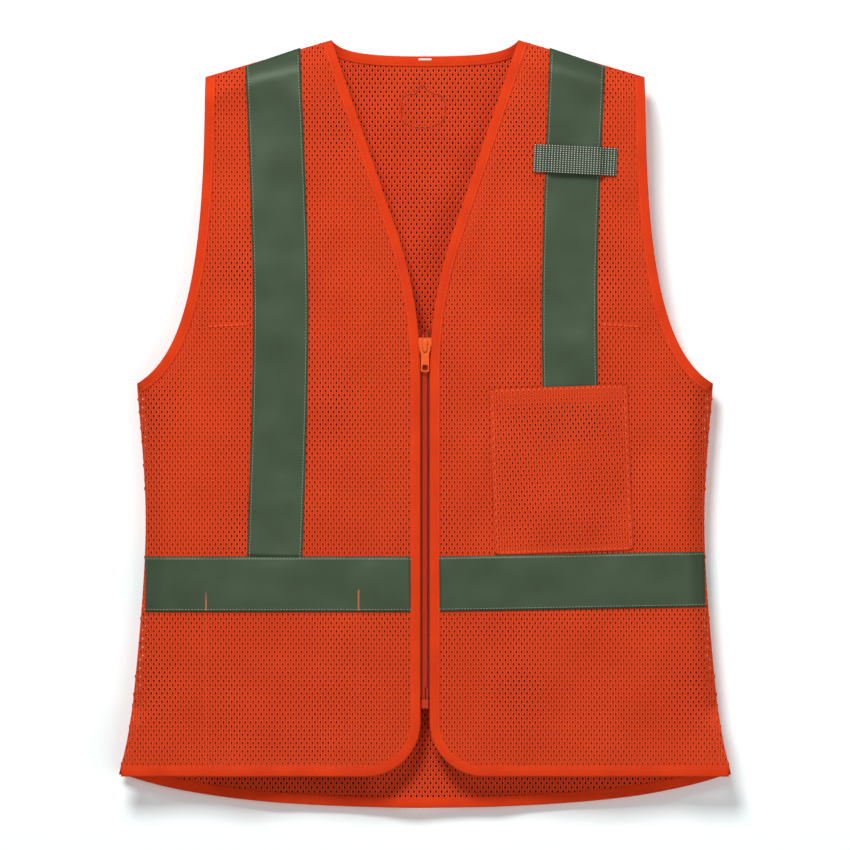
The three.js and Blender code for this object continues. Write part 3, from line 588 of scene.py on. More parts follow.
def strip_outline(line, width):
    half = width / 2
    return np.vstack([beside(line, -half), beside(line, half)[::-1]])


def waist_line(rise):
    middle = -WAIST_TAPE_TOP - TAPE_WIDTH / 2
    return np.array([(0, middle), (HEM_HALF, middle + rise)])


hidden = TAPE_WIDTH - 2 * HIDDEN_INSET
left_brace = brace[brace[:, 1] > -LEFT_BRACE_END]
left_cover = [strip_outline(left_brace, hidden), strip_outline(waist_line(LEFT_WAIST_RISE), hidden)]
right_cover = [strip_outline(mirrored(line), hidden) for line in (brace, waist_line(0))]
waist_both = np.vstack([mirrored(waist_line(0))[::-1], waist_line(0)[1:]])
back_cover = [strip_outline(line, hidden) for line in (brace, mirrored(brace), waist_both)]

back = perforated("back_mesh", back_outline, back_cover, BACK_STRETCH)
hang(back, BACK)
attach(back, "back")
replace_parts(back, "back_panel")
for hand, cover in (("left", left_cover), ("right", right_cover)):
    outline = front_outline if hand == "left" else mirrored(front_outline)
    front = perforated(f"{hand}_front_mesh", outline, cover)
    hang(front, FRONT)
    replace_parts(front, f"{hand}_front_panel", f"{hand}_front_panel_side")
    folding(front)


# ---- Edge bindings ----
# Knitted polyester tape, folded over every cut edge and sewn through both of its sides. The fold is
# round, the face a little full, and the stitches sink in near the inner edge.
BINDING_WIDTH = 9.5 * MM
BINDING_HALF = 0.95 * MM
STITCH_INSET = 1.7 * MM
STITCH_SINK = 0.3 * MM
RIB = 0.9 * MM


def ribbon(name, line, profile, material, place, rise=None, step=3 * MM, shear=None):
    """A closed strip along a flat line. The profile is a loop of distance to the line's right and lift."""
    line = even(line, step)
    profile = np.asarray(profile)
    run = np.linspace(0, 1, len(line)) * np.hypot(*np.diff(line, axis=0).T).sum()
    tangent = np.gradient(line, axis=0)
    tangent /= np.hypot(*tangent.T)[:, None]
    across = np.stack([tangent[:, 1], -tangent[:, 0]], 1)
    flat = np.zeros((len(line), len(profile), 3))
    flat[..., :2] = line[:, None] + across[:, None] * profile[None, :, :1]
    flat[..., 2] = profile[None, :, 1]
    cloth = np.zeros_like(flat)
    cloth[..., 0] = run[:, None]
    cloth[..., 1:] = profile[None]
    if rise is not None:
        flat[..., 2] += rise(run, profile[:, 0])
    if shear is not None:
        flat[..., 1] += shear(flat[..., 0], run[:, None])
    faces = tube_faces(len(line), len(profile))
    return outward(made(name, place(flat.reshape(-1, 3)), faces, material, cloth.reshape(-1, 3)))


def on_front(flat):
    return hung(flat, FRONT)


def on_back(flat):
    return hung(flat, BACK)


def together(name, objects):
    """Several meshes joined into one object."""
    work = bmesh.new()
    for obj in objects:
        work.from_mesh(obj.data)
    mesh = objects[0].data.copy()
    work.to_mesh(mesh)
    work.free()
    for obj in objects:
        bpy.data.objects.remove(obj)
    joint = bpy.data.objects.new(name, mesh)
    mesh.shade_smooth()
    bpy.context.scene.collection.objects.link(joint)
    return joint


def woven_material(name, face, deep, rib, roughness=0.8, depth=0.12, sheen=0.05):
    """Narrow knitted or woven tape: fine ribs along its length, with a soft matt face."""
    material, tree, shader = new_material(name)
    set_up(shader, Roughness=roughness, IOR=1.5, Sheen_Weight=sheen, Sheen_Roughness=0.5)
    shader.inputs["Specular IOR Level"].default_value = 0.15
    place = add(tree, "ShaderNodeAttribute", attribute_name="cloth").outputs["Vector"]
    ribs, loops = [
        add(
            tree, "ShaderNodeTexWave",
            {"Vector": place, "Scale": scale, "Distortion": wander, "Detail": 1, "Detail Scale": 300},
            wave_type="BANDS", bands_direction=way,
        ).outputs["Fac"]
        for scale, wander, way in ((0.314 / rib, 1.2, "Y"), (0.314 / (rib * 0.8), 1.5, "X"))
    ]
    shade = add(tree, "ShaderNodeTexNoise", {"Vector": place, "Scale": 30, "Detail": 3}).outputs["Fac"]
    relief = add(tree, "ShaderNodeMath", {0: loops, 1: 0.5, 2: ribs}, operation="MULTIPLY_ADD").outputs[0]
    mix = add(tree, "ShaderNodeMath", {0: relief, 1: 0.3, 2: shade}, operation="MULTIPLY_ADD").outputs[0]
    ramp = add(tree, "ShaderNodeValToRGB", {"Fac": mix})
    ramp.color_ramp.elements[0].position = 0.25
    ramp.color_ramp.elements[0].color = colour(deep)
    ramp.color_ramp.elements[1].color = colour(face)
    tree.links.new(ramp.outputs["Color"], shader.inputs["Base Color"])
    bump = add(tree, "ShaderNodeBump", {"Height": relief, "Strength": 0.6, "Distance": depth * MM})
    tree.links.new(bump.outputs[0], shader.inputs["Normal"])
    return material


def binding_profile(width, half):
    """Round at the fold, full in the middle, and sunk along the stitches near the inner edge."""
    sewn = width - STITCH_INSET
    upper = [
        (0.25 * MM, half * 0.75), (1.1 * MM, half), (width / 2, half * 1.1), (sewn - 0.8 * MM, half),
        (sewn, half - STITCH_SINK), (sewn + 0.8 * MM, half * 0.95), (width, half * 0.7),
    ]
    return [(0, 0)] + upper + [(s, -lift) for s, lift in upper[::-1]]


binding_tape = woven_material("knitted_polyester_binding", "#eb420e", "#d0300a", RIB)
profile = binding_profile(BINDING_WIDTH, BINDING_HALF)
seams = {"left": [], "right": [], "back": [], "sides": []}


def sided(line, hand):
    """A line of the left half, or the same line on the right, with the cloth still on its right."""
    return line if hand == "left" else mirrored(line)[::-1]


sewn_at = BINDING_WIDTH - STITCH_INSET
stitch_lift = BINDING_HALF - STITCH_SINK + 0.05 * MM
for hand in HANDS:
    edge = sided(EDGE[::-1], hand)
    strip = ribbon(f"{hand}_front_binding", edge, profile, binding_tape, on_front)
    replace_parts(strip, *(f"{hand}_edge_binding{end}" for end in ("", "_neck", "_hem")))
    folding(strip)
    seams[hand].append((beside(edge, sewn_at), stitch_lift))
    arm = sided(ARMHOLE, hand)
    halves = [ribbon("half", arm, profile, binding_tape, place) for place in (on_front, on_back)]
    strip = together(f"{hand}_arm_binding", halves)
    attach(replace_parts(strip, f"{hand}_armhole_binding"), "back")
    seams["sides"].append((beside(arm, sewn_at), stitch_lift))
    seams["back"].append((beside(arm, sewn_at), stitch_lift))
neck_line = np.vstack([mirrored(NECK)[::-1], NECK[1:]])
tail_line = np.vstack([TAIL, mirrored(TAIL)[::-1][1:]])
for name, node, line in (
    ("neck_binding", "back_neck_binding", neck_line), ("tail_binding", "back_hem_binding", tail_line)
):
    strip = ribbon(name, line, profile, binding_tape, on_back)
    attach(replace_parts(strip, node), "back")
    seams["back"].append((beside(line, sewn_at), stitch_lift))


# ---- Side and shoulder seams, and the hems of the side vents ----
# The back and the fronts are joined by an overlocked seam, turned in so that only a small roll shows.
# Below it the vent's edges are turned once and sewn.
SEAM_HALF = 1.2 * MM
VENT_HEM = 8.5 * MM
VENT_STITCH_LIFT = 0.25 * MM


def seam_roll(name, line):
    """A small closed roll along a seam, midway between the two layers."""
    line = even(line, 3 * MM)
    turns = np.linspace(0, 2 * math.pi, 8, endpoint=False)
    inward = beside(line, SEAM_HALF) - line
    points = [
        (x + dx * (1 + math.cos(a)), SEAM_HALF * math.sin(a), z + dz * (1 + math.cos(a)))
        for (x, z), (dx, dz) in zip(line, inward) for a in turns
    ]
    faces = tube_faces(len(line), len(turns))
    cloth = [(x, z, 0) for x, y, z in points]
    return outward(made(name, points, faces, binding_tape, cloth))


vent_edge = SIDE[SIDE[:, 1] <= -VENT_TOP + 1e-6]
vent_profile = [(s * VENT_HEM, lift * MM) for s, lift in (
    (0, 0.2), (0.1, -0.15), (0.5, -0.3), (1, -0.3), (1, -0.8), (0.5, -0.85), (0, -0.7),
)]
for hand in HANDS:
    rolls = [seam_roll("roll", sided(line, hand)) for line in (SIDE_SEAM, SHOULDER)]
    seam = together(f"{hand}_seams", rolls)
    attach(seam, "back")
    edge = sided(vent_edge, hand)
    strip = ribbon(f"{hand}_front_vent_hem", edge, vent_profile, shade_darkened_mesh, on_front)
    folding(strip)
    strip = ribbon(f"{hand}_back_vent_hem", edge, vent_profile, shade_darkened_mesh, on_back)
    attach(strip, "back")
    seams[hand].append((beside(edge, VENT_HEM - STITCH_INSET), VENT_STITCH_LIFT))
    seams["back"].append((beside(edge, VENT_HEM - STITCH_INSET), VENT_STITCH_LIFT))


# ---- Bust darts ----
# A short tuck in each front, sewn from near the armhole towards the middle of the chest.
DART_START = (199 * MM, -264 * MM)
DART_END = (163 * MM, -262 * MM)
DART_HALF = 1.1 * MM
DART_LIFT = 0.75 * MM
DART_EDGE = 0.3 * MM
dart_profile = [
    (-DART_HALF, DART_EDGE), (0, DART_LIFT), (DART_HALF, DART_EDGE), (DART_HALF, 0), (-DART_HALF, 0),
]
for hand in HANDS:
    dart = sided(np.array([DART_START, DART_END]), hand)
    tuck = ribbon(f"{hand}_bust_dart", dart, dart_profile, mesh_cloth, on_front)
    folding(tuck)


# ---- Retroreflective tapes ----
# Silver grey tape of glass beads on a cotton and polyester backing, cut 2 in wide and sewn down near
# both edges. It is stiffer than the mesh, so it lies flatter and takes small creases.
TAPE_SEAT = 0.8 * MM
TAPE_THICK = 0.35 * MM
TAPE_STITCH = 2.2 * MM
ACROSS = 16


def creases(run, across):
    """Small creases over the tape, most of them slanting across it."""
    u, v = np.meshgrid(run, across, indexing="ij")
    fine = np.sin(170 * u + 60 * v + 2.2 * np.sin(31 * u)) * np.sin(47 * u - 90 * v + 1.3)
    broad = np.sin(62 * u - 35 * v + 1.7 * np.sin(17 * u + 0.6))
    inside = smooth(v / (12 * MM)) * smooth((TAPE_WIDTH - v) / (12 * MM))
    return (0.2 * fine + 0.36 * (broad + 1)) * MM * inside


def reflective_material():
    """Exposed glass beads: an even grey-green face, faintly mottled, satin, with a bead grain."""
    material, tree, shader = new_material("retroreflective_bead_tape")
    set_up(shader, Roughness=0.5, IOR=1.5, Metallic=0.15)
    shader.inputs["Specular IOR Level"].default_value = 0.35
    place = add(tree, "ShaderNodeAttribute", attribute_name="cloth").outputs["Vector"]
    mottle = add(tree, "ShaderNodeTexNoise", {"Vector": place, "Scale": 22, "Detail": 4}).outputs["Fac"]
    beads = add(tree, "ShaderNodeTexNoise", {"Vector": place, "Scale": 2600, "Detail": 1}).outputs["Fac"]
    mix = add(tree, "ShaderNodeMath", {0: beads, 1: 0.35, 2: mottle}, operation="MULTIPLY_ADD").outputs[0]
    ramp = add(tree, "ShaderNodeValToRGB", {"Fac": mix})
    ramp.color_ramp.elements[0].position = 0.4
    ramp.color_ramp.elements[0].color = colour("#3a4b33")
    ramp.color_ramp.elements[1].color = colour("#475843")
    tree.links.new(ramp.outputs["Color"], shader.inputs["Base Color"])
    bump = add(tree, "ShaderNodeBump", {"Height": beads, "Strength": 0.25, "Distance": 0.1 * MM})
    tree.links.new(bump.outputs[0], shader.inputs["Normal"])
    return material


reflective = reflective_material()
steps = np.linspace(0, TAPE_WIDTH, ACROSS + 1)
tape_profile = [(s, TAPE_SEAT + TAPE_THICK) for s in steps] + [(s, TAPE_SEAT) for s in steps[::-1]]


def to_shoulder(x, run):
    """Slants the top end of a tape along the shoulder seam."""
    slope = SHOULDER_DROP / (SHOULDER_HALF - NECK_HALF)
    return -slope * (np.abs(x) - brace[0, 0]) * np.clip(1 - run / (60 * MM), 0, 1)


def tape_on(name, middle, place, shear=None):
    start = beside(middle, -TAPE_WIDTH / 2)
    return ribbon(name, start, tape_profile, reflective, place, rise=creases, shear=shear)


def shoulder_at(x):
    return -SHOULDER_DROP * np.maximum(np.abs(x) - NECK_HALF, 0) / (SHOULDER_HALF - NECK_HALF)


shown = brace[brace[:, 1] <= shoulder_at(brace[0, 0]) + 0.5 * MM]
side_x = float(np.interp(WAIST_TAPE_TOP, -SIDE[:, 1], SIDE[:, 0])) - 0.5 * MM
inner_x = FRONT_EDGE + BINDING_WIDTH - 0.4 * MM
tape_seams = {"left": [], "right": [], "back": []}
stitch_rows = (TAPE_STITCH - TAPE_WIDTH / 2, TAPE_WIDTH / 2 - TAPE_STITCH)
tape_top = TAPE_SEAT + TAPE_THICK + 0.1 * MM


def tape_rows(middle):
    """The two rows of stitches of a tape, ending at the shoulder seam."""
    rows_found = []
    for distance in stitch_rows:
        row_line = even(beside(middle, distance), 2 * MM)
        row_line = row_line[row_line[:, 1] < shoulder_at(row_line[:, 0]) - STITCH_INSET]
        rows_found.append((row_line, tape_top))
    return rows_found


for hand, sign in HANDS.items():
    rise = LEFT_WAIST_RISE if hand == "left" else 0
    waist = waist_line(rise)
    share = np.array([[inner_x], [side_x]]) / HEM_HALF
    waist = (waist[0] + (waist[1] - waist[0]) * share) * (sign, 1)
    end = -LEFT_BRACE_END if hand == "left" else -WAIST_TAPE_TOP
    upright = shown[shown[:, 1] > end] * (sign, 1)
    pieces = {"tape": (upright, to_shoulder), "waist_tape": (waist, None)}
    for what, (middle, shear) in pieces.items():
        strip = tape_on(f"{hand}_front_{what}_strip", middle, on_front, shear)
        node = f"{hand}_front_tape" if what == "tape" else f"{hand}_waist_tape"
        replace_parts(strip, node, f"{node}_side")
        folding(strip)
        tape_seams[hand] += tape_rows(middle)
    upright = shown * (sign, 1)
    strip = tape_on(f"{hand}_back_tape_strip", upright, on_back, to_shoulder)
    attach(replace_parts(strip, f"{hand}_back_tape"), "back")
    tape_seams["back"] += tape_rows(upright)
waist = waist_both * (side_x / HEM_HALF, 1)
strip = tape_on("back_waist_tape_strip", waist, on_back)
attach(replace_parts(strip, "back_waist_tape"), "back")
tape_seams["back"] += tape_rows(waist)


# ---- Pockets ----
# The chest pocket is a patch of mesh with a deep hem at its mouth, sewn down at its sides and foot.
# The inner pocket hangs behind the right front, from a hemmed mouth under the waist tape to the hem.
CHEST_POCKET = (127 * MM, 152 * MM)
CHEST_TILT = math.radians(2.0)
CHEST_INSET = 61.5 * MM
MOUTH_HEM = 16.5 * MM
POCKET_TURN = 5 * MM
POCKET_SEAT = 1.3 * MM
POCKET_PUFF = 3 * MM
BAND_BEHIND = 0.5 * MM
INNER_POCKET_WIDTH = 144 * MM
INNER_POCKET_TOP = 506 * MM
INNER_POCKET_INSET = 59 * MM
CHEST_POCKET_MIDDLE = -395.1 * MM
POCKET_FULLNESS = 1.25


def puffed(u, v):
    """How full a pocket is at a share of its width and height: none at its sides and foot."""
    swell = np.minimum(1, POCKET_FULLNESS * np.sin(math.pi * u)) * np.sin(math.pi / 2 * np.minimum(1, 2 * v))
    return POCKET_PUFF * swell


def turned(flat, middle, tilt):
    """Flat points turned by an angle and moved to a place on the cloth."""
    c, s = math.cos(tilt), math.sin(tilt)
    x, z, lift = np.asarray(flat, float).T
    return np.stack([middle[0] + c * x - s * z, middle[1] + s * x + c * z, lift], 1)


def pocket(name, size, middle, tilt, facing_out, nodes):
    """A patch of mesh, standing off in the middle and at its mouth. Its turned edges are made by
    turned_edges.
    """
    width, height = size
    outline = np.array([(-1, -1), (1, -1), (1, 1), (-1, 1)]) * size / 2
    obj = perforated(name, outline)
    flat = where(obj)
    swell = puffed(flat[:, 0] / width + 0.5, flat[:, 1] / height + 0.5)
    flat[:, 2] = facing_out * (flat[:, 2] + POCKET_SEAT + swell)
    put(obj, on_front(turned(flat, middle, tilt)))
    if facing_out < 0:
        obj.data.flip_normals()
    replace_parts(obj, *nodes)
    folding(obj)
    return obj


chest_middle = (CHEST_INSET + CHEST_POCKET[0] / 2, CHEST_POCKET_MIDDLE)
chest_nodes = ("chest_pocket", "chest_pocket_side")
pocket("chest_pocket_mesh", CHEST_POCKET, chest_middle, CHEST_TILT, 1, chest_nodes)
inner_size = (INNER_POCKET_WIDTH, FRONT_HEM - BINDING_WIDTH - INNER_POCKET_TOP)
inner_middle = (-INNER_POCKET_INSET - INNER_POCKET_WIDTH / 2, -INNER_POCKET_TOP - inner_size[1] / 2)
pocket("inner_pocket_mesh", inner_size, inner_middle, 0, -1, ("inner_pocket",))
for cell in (open_cell, plain_cell):
    bpy.data.objects.remove(cell)


def box_line(size, inset, middle, tilt, mouth):
    """The seam round a pocket's sides and foot, and the seam of its mouth hem."""
    w, h = size[0] / 2 - inset, size[1] / 2 - inset
    u_shape = [(-w, h, 0), (-w, -h, 0), (w, -h, 0), (w, h, 0)]
    lines = [even(turned(u_shape, middle, tilt)[:, :2], 2 * MM)]
    hem = size[1] / 2 - mouth
    return lines + [even(turned([(-w, hem, 0), (w, hem, 0)], middle, tilt)[:, :2], 2 * MM)]


pocket_lines = box_line(CHEST_POCKET, 1.5 * MM, chest_middle, CHEST_TILT, MOUTH_HEM)
seams["left"].append((pocket_lines[0], POCKET_SEAT + 0.25 * MM))
inner_lines = box_line(inner_size, 1.5 * MM, inner_middle, 0, MOUTH_HEM)
seams["right"].append((inner_lines[0], 0.25 * MM))


def turned_edges(name, size, middle, tilt, facing_out):
    """The cloth turned in behind a pocket's mouth and its other edges, following its swell."""
    width, height = size
    bands = []
    sides = (
        ((-1, 1), (1, 1), width, MOUTH_HEM), ((1, 1), (1, -1), height, POCKET_TURN),
        ((-1, -1), (-1, 1), height, POCKET_TURN), ((1, -1), (-1, -1), width, POCKET_TURN),
    )
    for a, b, length, deep in sides:
        start, end = [(x * width / 2, z * height / 2) for x, z in (a, b)]
        along = (np.array(end) - start) / length

        def behind(run, across, start=start, along=along):
            out = np.array([along[1], -along[0]])
            x = start[0] + run[:, None] * along[0] + across[None] * out[0]
            z = start[1] + run[:, None] * along[1] + across[None] * out[1]
            swell = puffed(np.clip(x / width + 0.5, 0, 1), np.clip(z / height + 0.5, 0, 1))
            return facing_out * (POCKET_SEAT - BAND_BEHIND + swell)

        loop = [(0.4 * MM, 0), (deep / 2, 0), (deep, 0)]
        loop += [(s, -facing_out * 0.15 * MM) for s, _ in loop[::-1]]
        line = turned([(*start, 0), (*end, 0)], middle, tilt)[:, :2]
        bands.append(ribbon("band", line, loop, shade_darkened_mesh, on_front, rise=behind))
    return folding(together(name, bands))


turned_edges("chest_pocket_turned_edges", CHEST_POCKET, chest_middle, CHEST_TILT, 1)
turned_edges("inner_pocket_turned_edges", inner_size, inner_middle, 0, -1)


# ---- Webbing tab for a microphone clip ----
# Olive polyester webbing, 1 in wide, plain woven from coarse two-colour yarn. Both feet are sewn
# down through the tape, and the bridge between them stands off so that a clip slides under.
TAB_LENGTH = 76 * MM
WEBBING_WIDTH = 25.4 * MM
WEBBING_THICK = 1.4 * MM
TAB_RISE = 5 * MM
TAB_FOOT = 9 * MM
TAB_RAMP = 8 * MM
TAB_TILT = math.radians(-2.8)
TAB_MIDDLE = (138 * MM, -111 * MM)
YARN = 1.05 * MM
PICK = 1.0 * MM
YARN_SWELL = 0.16 * MM
FLECK = (2.6 * MM, 2.0 * MM)
TAB_SEAT = 1.6 * MM


def bridge(run):
    """How far the tab stands off along its length."""
    from_end = np.minimum(run, TAB_LENGTH - run)
    return TAB_RISE * smooth((from_end - TAB_FOOT) / TAB_RAMP)


def weave(run, across):
    u, v = np.meshgrid(run, across, indexing="ij")
    over = np.sin(math.pi * u / YARN) * np.sin(math.pi * v / PICK)
    return bridge(u) + YARN_SWELL * over


def webbing_material():
    """Two-colour webbing: dark olive yarn with pale flecks where the light yarn crosses over it."""
    material, tree, shader = new_material("woven_polyester_webbing")
    set_up(shader, Roughness=0.75, IOR=1.5, Sheen_Weight=0.15)
    place = add(tree, "ShaderNodeAttribute", attribute_name="cloth").outputs["Vector"]
    waves = (math.tau / FLECK[0], math.tau / FLECK[1], 0)
    grid = add(tree, "ShaderNodeVectorMath", {0: place, 1: waves}, operation="MULTIPLY").outputs[0]
    wave = add(tree, "ShaderNodeVectorMath", {0: grid}, operation="SINE").outputs[0]
    wave = add(tree, "ShaderNodeVectorMath", {0: wave, 1: (0, 0, 0)}, operation="MAXIMUM").outputs[0]
    parts = add(tree, "ShaderNodeSeparateXYZ", {0: wave}).outputs
    over = add(tree, "ShaderNodeMath", {0: parts["X"], 1: parts["Y"]}, operation="MULTIPLY").outputs[0]
    patches = add(tree, "ShaderNodeTexNoise", {"Vector": place, "Scale": 500, "Detail": 2}).outputs["Fac"]
    amount = add(tree, "ShaderNodeMath", {0: patches, 1: 0.25, 2: over}, operation="MULTIPLY_ADD")
    ramp = add(tree, "ShaderNodeValToRGB", {"Fac": amount.outputs[0]})
    stops = ramp.color_ramp.elements
    stops[0].position, stops[0].color = 0.0, colour("#22301f")
    stops[1].position, stops[1].color = 0.95, colour("#f6f8ec")
    middle = stops.new(0.38)
    middle.color = colour("#405239")
    tree.links.new(ramp.outputs["Color"], shader.inputs["Base Color"])
    return material


webbing = webbing_material()
count = int(WEBBING_WIDTH / (PICK / 2))
steps = np.linspace(0, WEBBING_WIDTH, count + 1)
tab_profile = [(s, TAB_SEAT + WEBBING_THICK) for s in steps] + [(s, TAB_SEAT) for s in steps[::-1]]
upper_edge = [(x, WEBBING_WIDTH / 2, 0) for x in (-TAB_LENGTH / 2, TAB_LENGTH / 2)]
ends = turned(upper_edge, TAB_MIDDLE, TAB_TILT)
tab = ribbon("mic_tab_webbing", ends[:, :2], tab_profile, webbing, on_front, rise=weave, step=YARN / 2)
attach(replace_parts(tab, "mic_tab"), "back")
foot_inset = TAB_LENGTH / 2 - TAB_FOOT * 0.55
seam_half = WEBBING_WIDTH * 0.47
tab_seams = []
for x in (-foot_inset, foot_inset):
    seam_line = turned([(x, -seam_half, 0), (x, seam_half, 0)], TAB_MIDDLE, TAB_TILT)[:, :2]
    tab_seams.append((even(seam_line, MM), TAB_SEAT + WEBBING_THICK + 0.15 * MM))


# ---- Labels on the back ----
# A patch of the same mesh is sewn to the middle of the back below the neck. Only its turned edge and
# its stitches are made. A small folded satin label sits in the neck binding's seam.
PATCH_DEPTH = 61 * MM
PATCH_STEP = 1.5 * MM
LABEL_LENGTH = 2 * MM

corners = [
    (-1.5, 17.6), (4.7, 12.3), (13.9, 8.6), (17.0, 0.6), (14.8, -12.4), (-0.9, -17.5), (-18.1, -13.5),
    (-20.0, -0.6), (-18.1, 9.2), (-8.9, 10.8), (-4.2, 17.0),
]
patch_corners = np.array(corners + corners[:3]) * MM + (0, -PATCH_DEPTH)
patch_line = even(spline(patch_corners, 120), PATCH_STEP)
overlap = np.hypot(*np.diff(patch_corners[:3], axis=0).T).sum()
patch_line = patch_line[:-int(round(overlap / PATCH_STEP))]
patch_profile = [(0, 0.55 * MM), (0.6 * MM, 0.8 * MM), (2.6 * MM, 0.8 * MM), (3 * MM, 0.55 * MM)]
patch = ribbon("back_patch_edge", patch_line[::-1], patch_profile, mesh_cloth, on_back)
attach(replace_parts(patch, "back_patch"), "back")
patch_seam = (beside(patch_line, -1.5 * MM), -0.7 * MM)

satin = woven_material("satin_label", "#f4f1ea", "#dcd6ca", 0.25 * MM, roughness=0.4, depth=0.03)
low_corner, high_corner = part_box("neck_label")
label_profile = [(s * LABEL_LENGTH, lift * MM) for s, lift in (
    (0, 0), (0.1, 0.25), (0.5, 0.3), (0.95, 0.25), (1, 0), (0.95, -0.2), (0.5, -0.15), (0.1, -0.2)
)]


def at_label(flat):
    """The label's flat points, standing just inside the back's neck binding."""
    middle_y = (low_corner.y + high_corner.y) / 2
    return np.stack([flat[:, 0], middle_y - flat[:, 2], flat[:, 1]], 1)


label_line = np.array([(low_corner.x, high_corner.z), (high_corner.x, high_corner.z)])
label = ribbon("neck_label_satin", label_line, label_profile, satin, at_label, step=1 * MM)
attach(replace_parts(label, "neck_label"), "back")


# ---- Separating zip ----
# A coil zip with woven tapes behind the edge bindings, moulded top stops, an insertion pin and a
# retainer box, and a painted die-cast slider with a long pull tab.
CHAIN_Y = (low("left_zip_coil").y + high("left_zip_coil").y) / 2
CHAIN_TOP = high("left_zip_coil").z
COIL_PITCH = 1.85 * MM
COIL_INNER = -0.35 * MM
COIL_OUTER = 2.6 * MM
COIL_HALF = 0.72 * MM
COIL_THREAD = 0.42 * MM


def on_chain(flat):
    """Flat points placed at the zip: across, height, and lift from the chain's middle."""
    flat = np.asarray(flat, float)
    return np.stack([flat[:, 0], CHAIN_Y - flat[:, 2], flat[:, 1]], 1)


rows, given = node_group("row_of_copies", {
    "Lines": "Geometry", "Copy": "Object", "Spacing": "Float", "Material": "Material",
})
curves = add(rows, "GeometryNodeMeshToCurve", {0: given["Lines"]}).outputs[0]
spaced = add(
    rows, "GeometryNodeResampleCurve", {"Curve": curves, "Length": given["Spacing"]}, mode="LENGTH"
).outputs[0]
tangent = add(rows, "GeometryNodeInputTangent").outputs[0]
aligned = add(
    rows, "FunctionNodeAlignRotationToVector", {"Vector": tangent}, axis="X", pivot_axis="Z"
).outputs["Rotation"]
copy = add(rows, "GeometryNodeObjectInfo", {"Object": given["Copy"]}).outputs["Geometry"]
copies = add(rows, "GeometryNodeInstanceOnPoints", {
    "Points": spaced, "Instance": copy, "Rotation": aligned,
}).outputs[0]
real = add(rows, "GeometryNodeRealizeInstances", {0: copies}).outputs[0]
finished = add(rows, "GeometryNodeSetMaterial", {"Geometry": real, "Material": given["Material"]})
add(rows, "NodeGroupOutput", {0: finished.outputs[0]})


def row_of(name, copied, lines, spacing, material, place):
    """Copies a small mesh along flat lines, each with its lift, then puts them in place."""
    points, edges = [], []
    for line, lift in lines:
        first = len(points)
        points += [(x, z, lift) for x, z in np.asarray(line)]
        edges += [(i, i + 1) for i in range(first, len(points) - 1)]
    mesh = bpy.data.meshes.new(name)
    mesh.from_pydata(points, edges, [])
    obj = bpy.data.objects.new(name, mesh)
    bpy.context.scene.collection.objects.link(obj)
    obj = baked(obj, rows, name, Copy=copied, Spacing=spacing, Material=material)
    flat = where(obj)
    mark_cloth(obj.data, flat)
    return outward(put(obj, place(flat)))


def thread_material(name, code, roughness=0.6):
    """Spun or moulded polyester thread, twisted, with a soft gloss."""
    material, tree, shader = new_material(name)
    set_up(shader, Roughness=roughness, IOR=1.55, Sheen_Weight=0.1)
    shader.inputs["Specular IOR Level"].default_value = 0.3
    place = add(tree, "ShaderNodeTexCoord").outputs["Object"]
    noise = add(tree, "ShaderNodeTexNoise", {"Vector": place, "Scale": 900, "Detail": 2})
    ramp = add(tree, "ShaderNodeValToRGB", {"Fac": noise.outputs["Fac"]})
    base = colour(code)
    ramp.color_ramp.elements[0].position, ramp.color_ramp.elements[1].position = 0.3, 0.7
    ramp.color_ramp.elements[0].color = [c * 0.72 for c in base[:3]] + [1]
    ramp.color_ramp.elements[1].color = base
    tree.links.new(ramp.outputs["Color"], shader.inputs["Base Color"])
    bump = add(
        tree, "ShaderNodeBump", {"Height": noise.outputs["Fac"], "Strength": 0.3, "Distance": 0.1 * MM}
    )
    tree.links.new(bump.outputs[0], shader.inputs["Normal"])
    return material


coil_fibre = thread_material("moulded_polyester_coil", "#ff4a20", 0.35)
around = np.linspace(0, 2 * math.pi, 12, endpoint=False)
tube = np.linspace(0, 2 * math.pi, 5, endpoint=False)
middle_y = -(COIL_INNER + COIL_OUTER) / 2
half_y = (COIL_OUTER - COIL_INNER) / 2 - COIL_THREAD
loop_points = []
for a in around:
    lean = 0.25 * COIL_PITCH * math.sin(a)
    centre = np.array([lean, middle_y + half_y * math.cos(a), COIL_HALF * math.sin(a)])
    out = np.array([0, math.cos(a), math.sin(a)])
    loop_points += [
        centre + COIL_THREAD * (out * math.cos(b) + np.array([math.sin(b), 0, 0])) for b in tube
    ]
n, m = len(around), len(tube)
loop_faces = [
    (i * m + j, i * m + (j + 1) % m, (i + 1) % n * m + (j + 1) % m, (i + 1) % n * m + j)
    for i in range(n) for j in range(m)
]
coil_loop = made("coil_loop", loop_points, loop_faces, coil_fibre)
feet = {"left": low("left_zip_coil").z, "right": low("right_zip_coil").z}
for hand, sign in HANDS.items():
    ends = [(0, feet[hand] + COIL_PITCH / 2), (0, CHAIN_TOP - COIL_PITCH / 2)]
    if hand == "right":
        ends = [(0, CHAIN_TOP - COIL_PITCH), (0, feet[hand] + COIL_PITCH / 2)]
    coil = row_of(f"{hand}_coil", coil_loop, [(ends, 0)], COIL_PITCH, coil_fibre, on_chain)
    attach(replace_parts(coil, f"{hand}_zip_coil"), f"{hand}_front")
bpy.data.objects.remove(coil_loop)

UNDER_COIL = -1.25 * MM
UNDER_INSET = 0.15 * MM
UNDER_WIDTH = 3 * MM
UNDER_HALF = 0.08 * MM
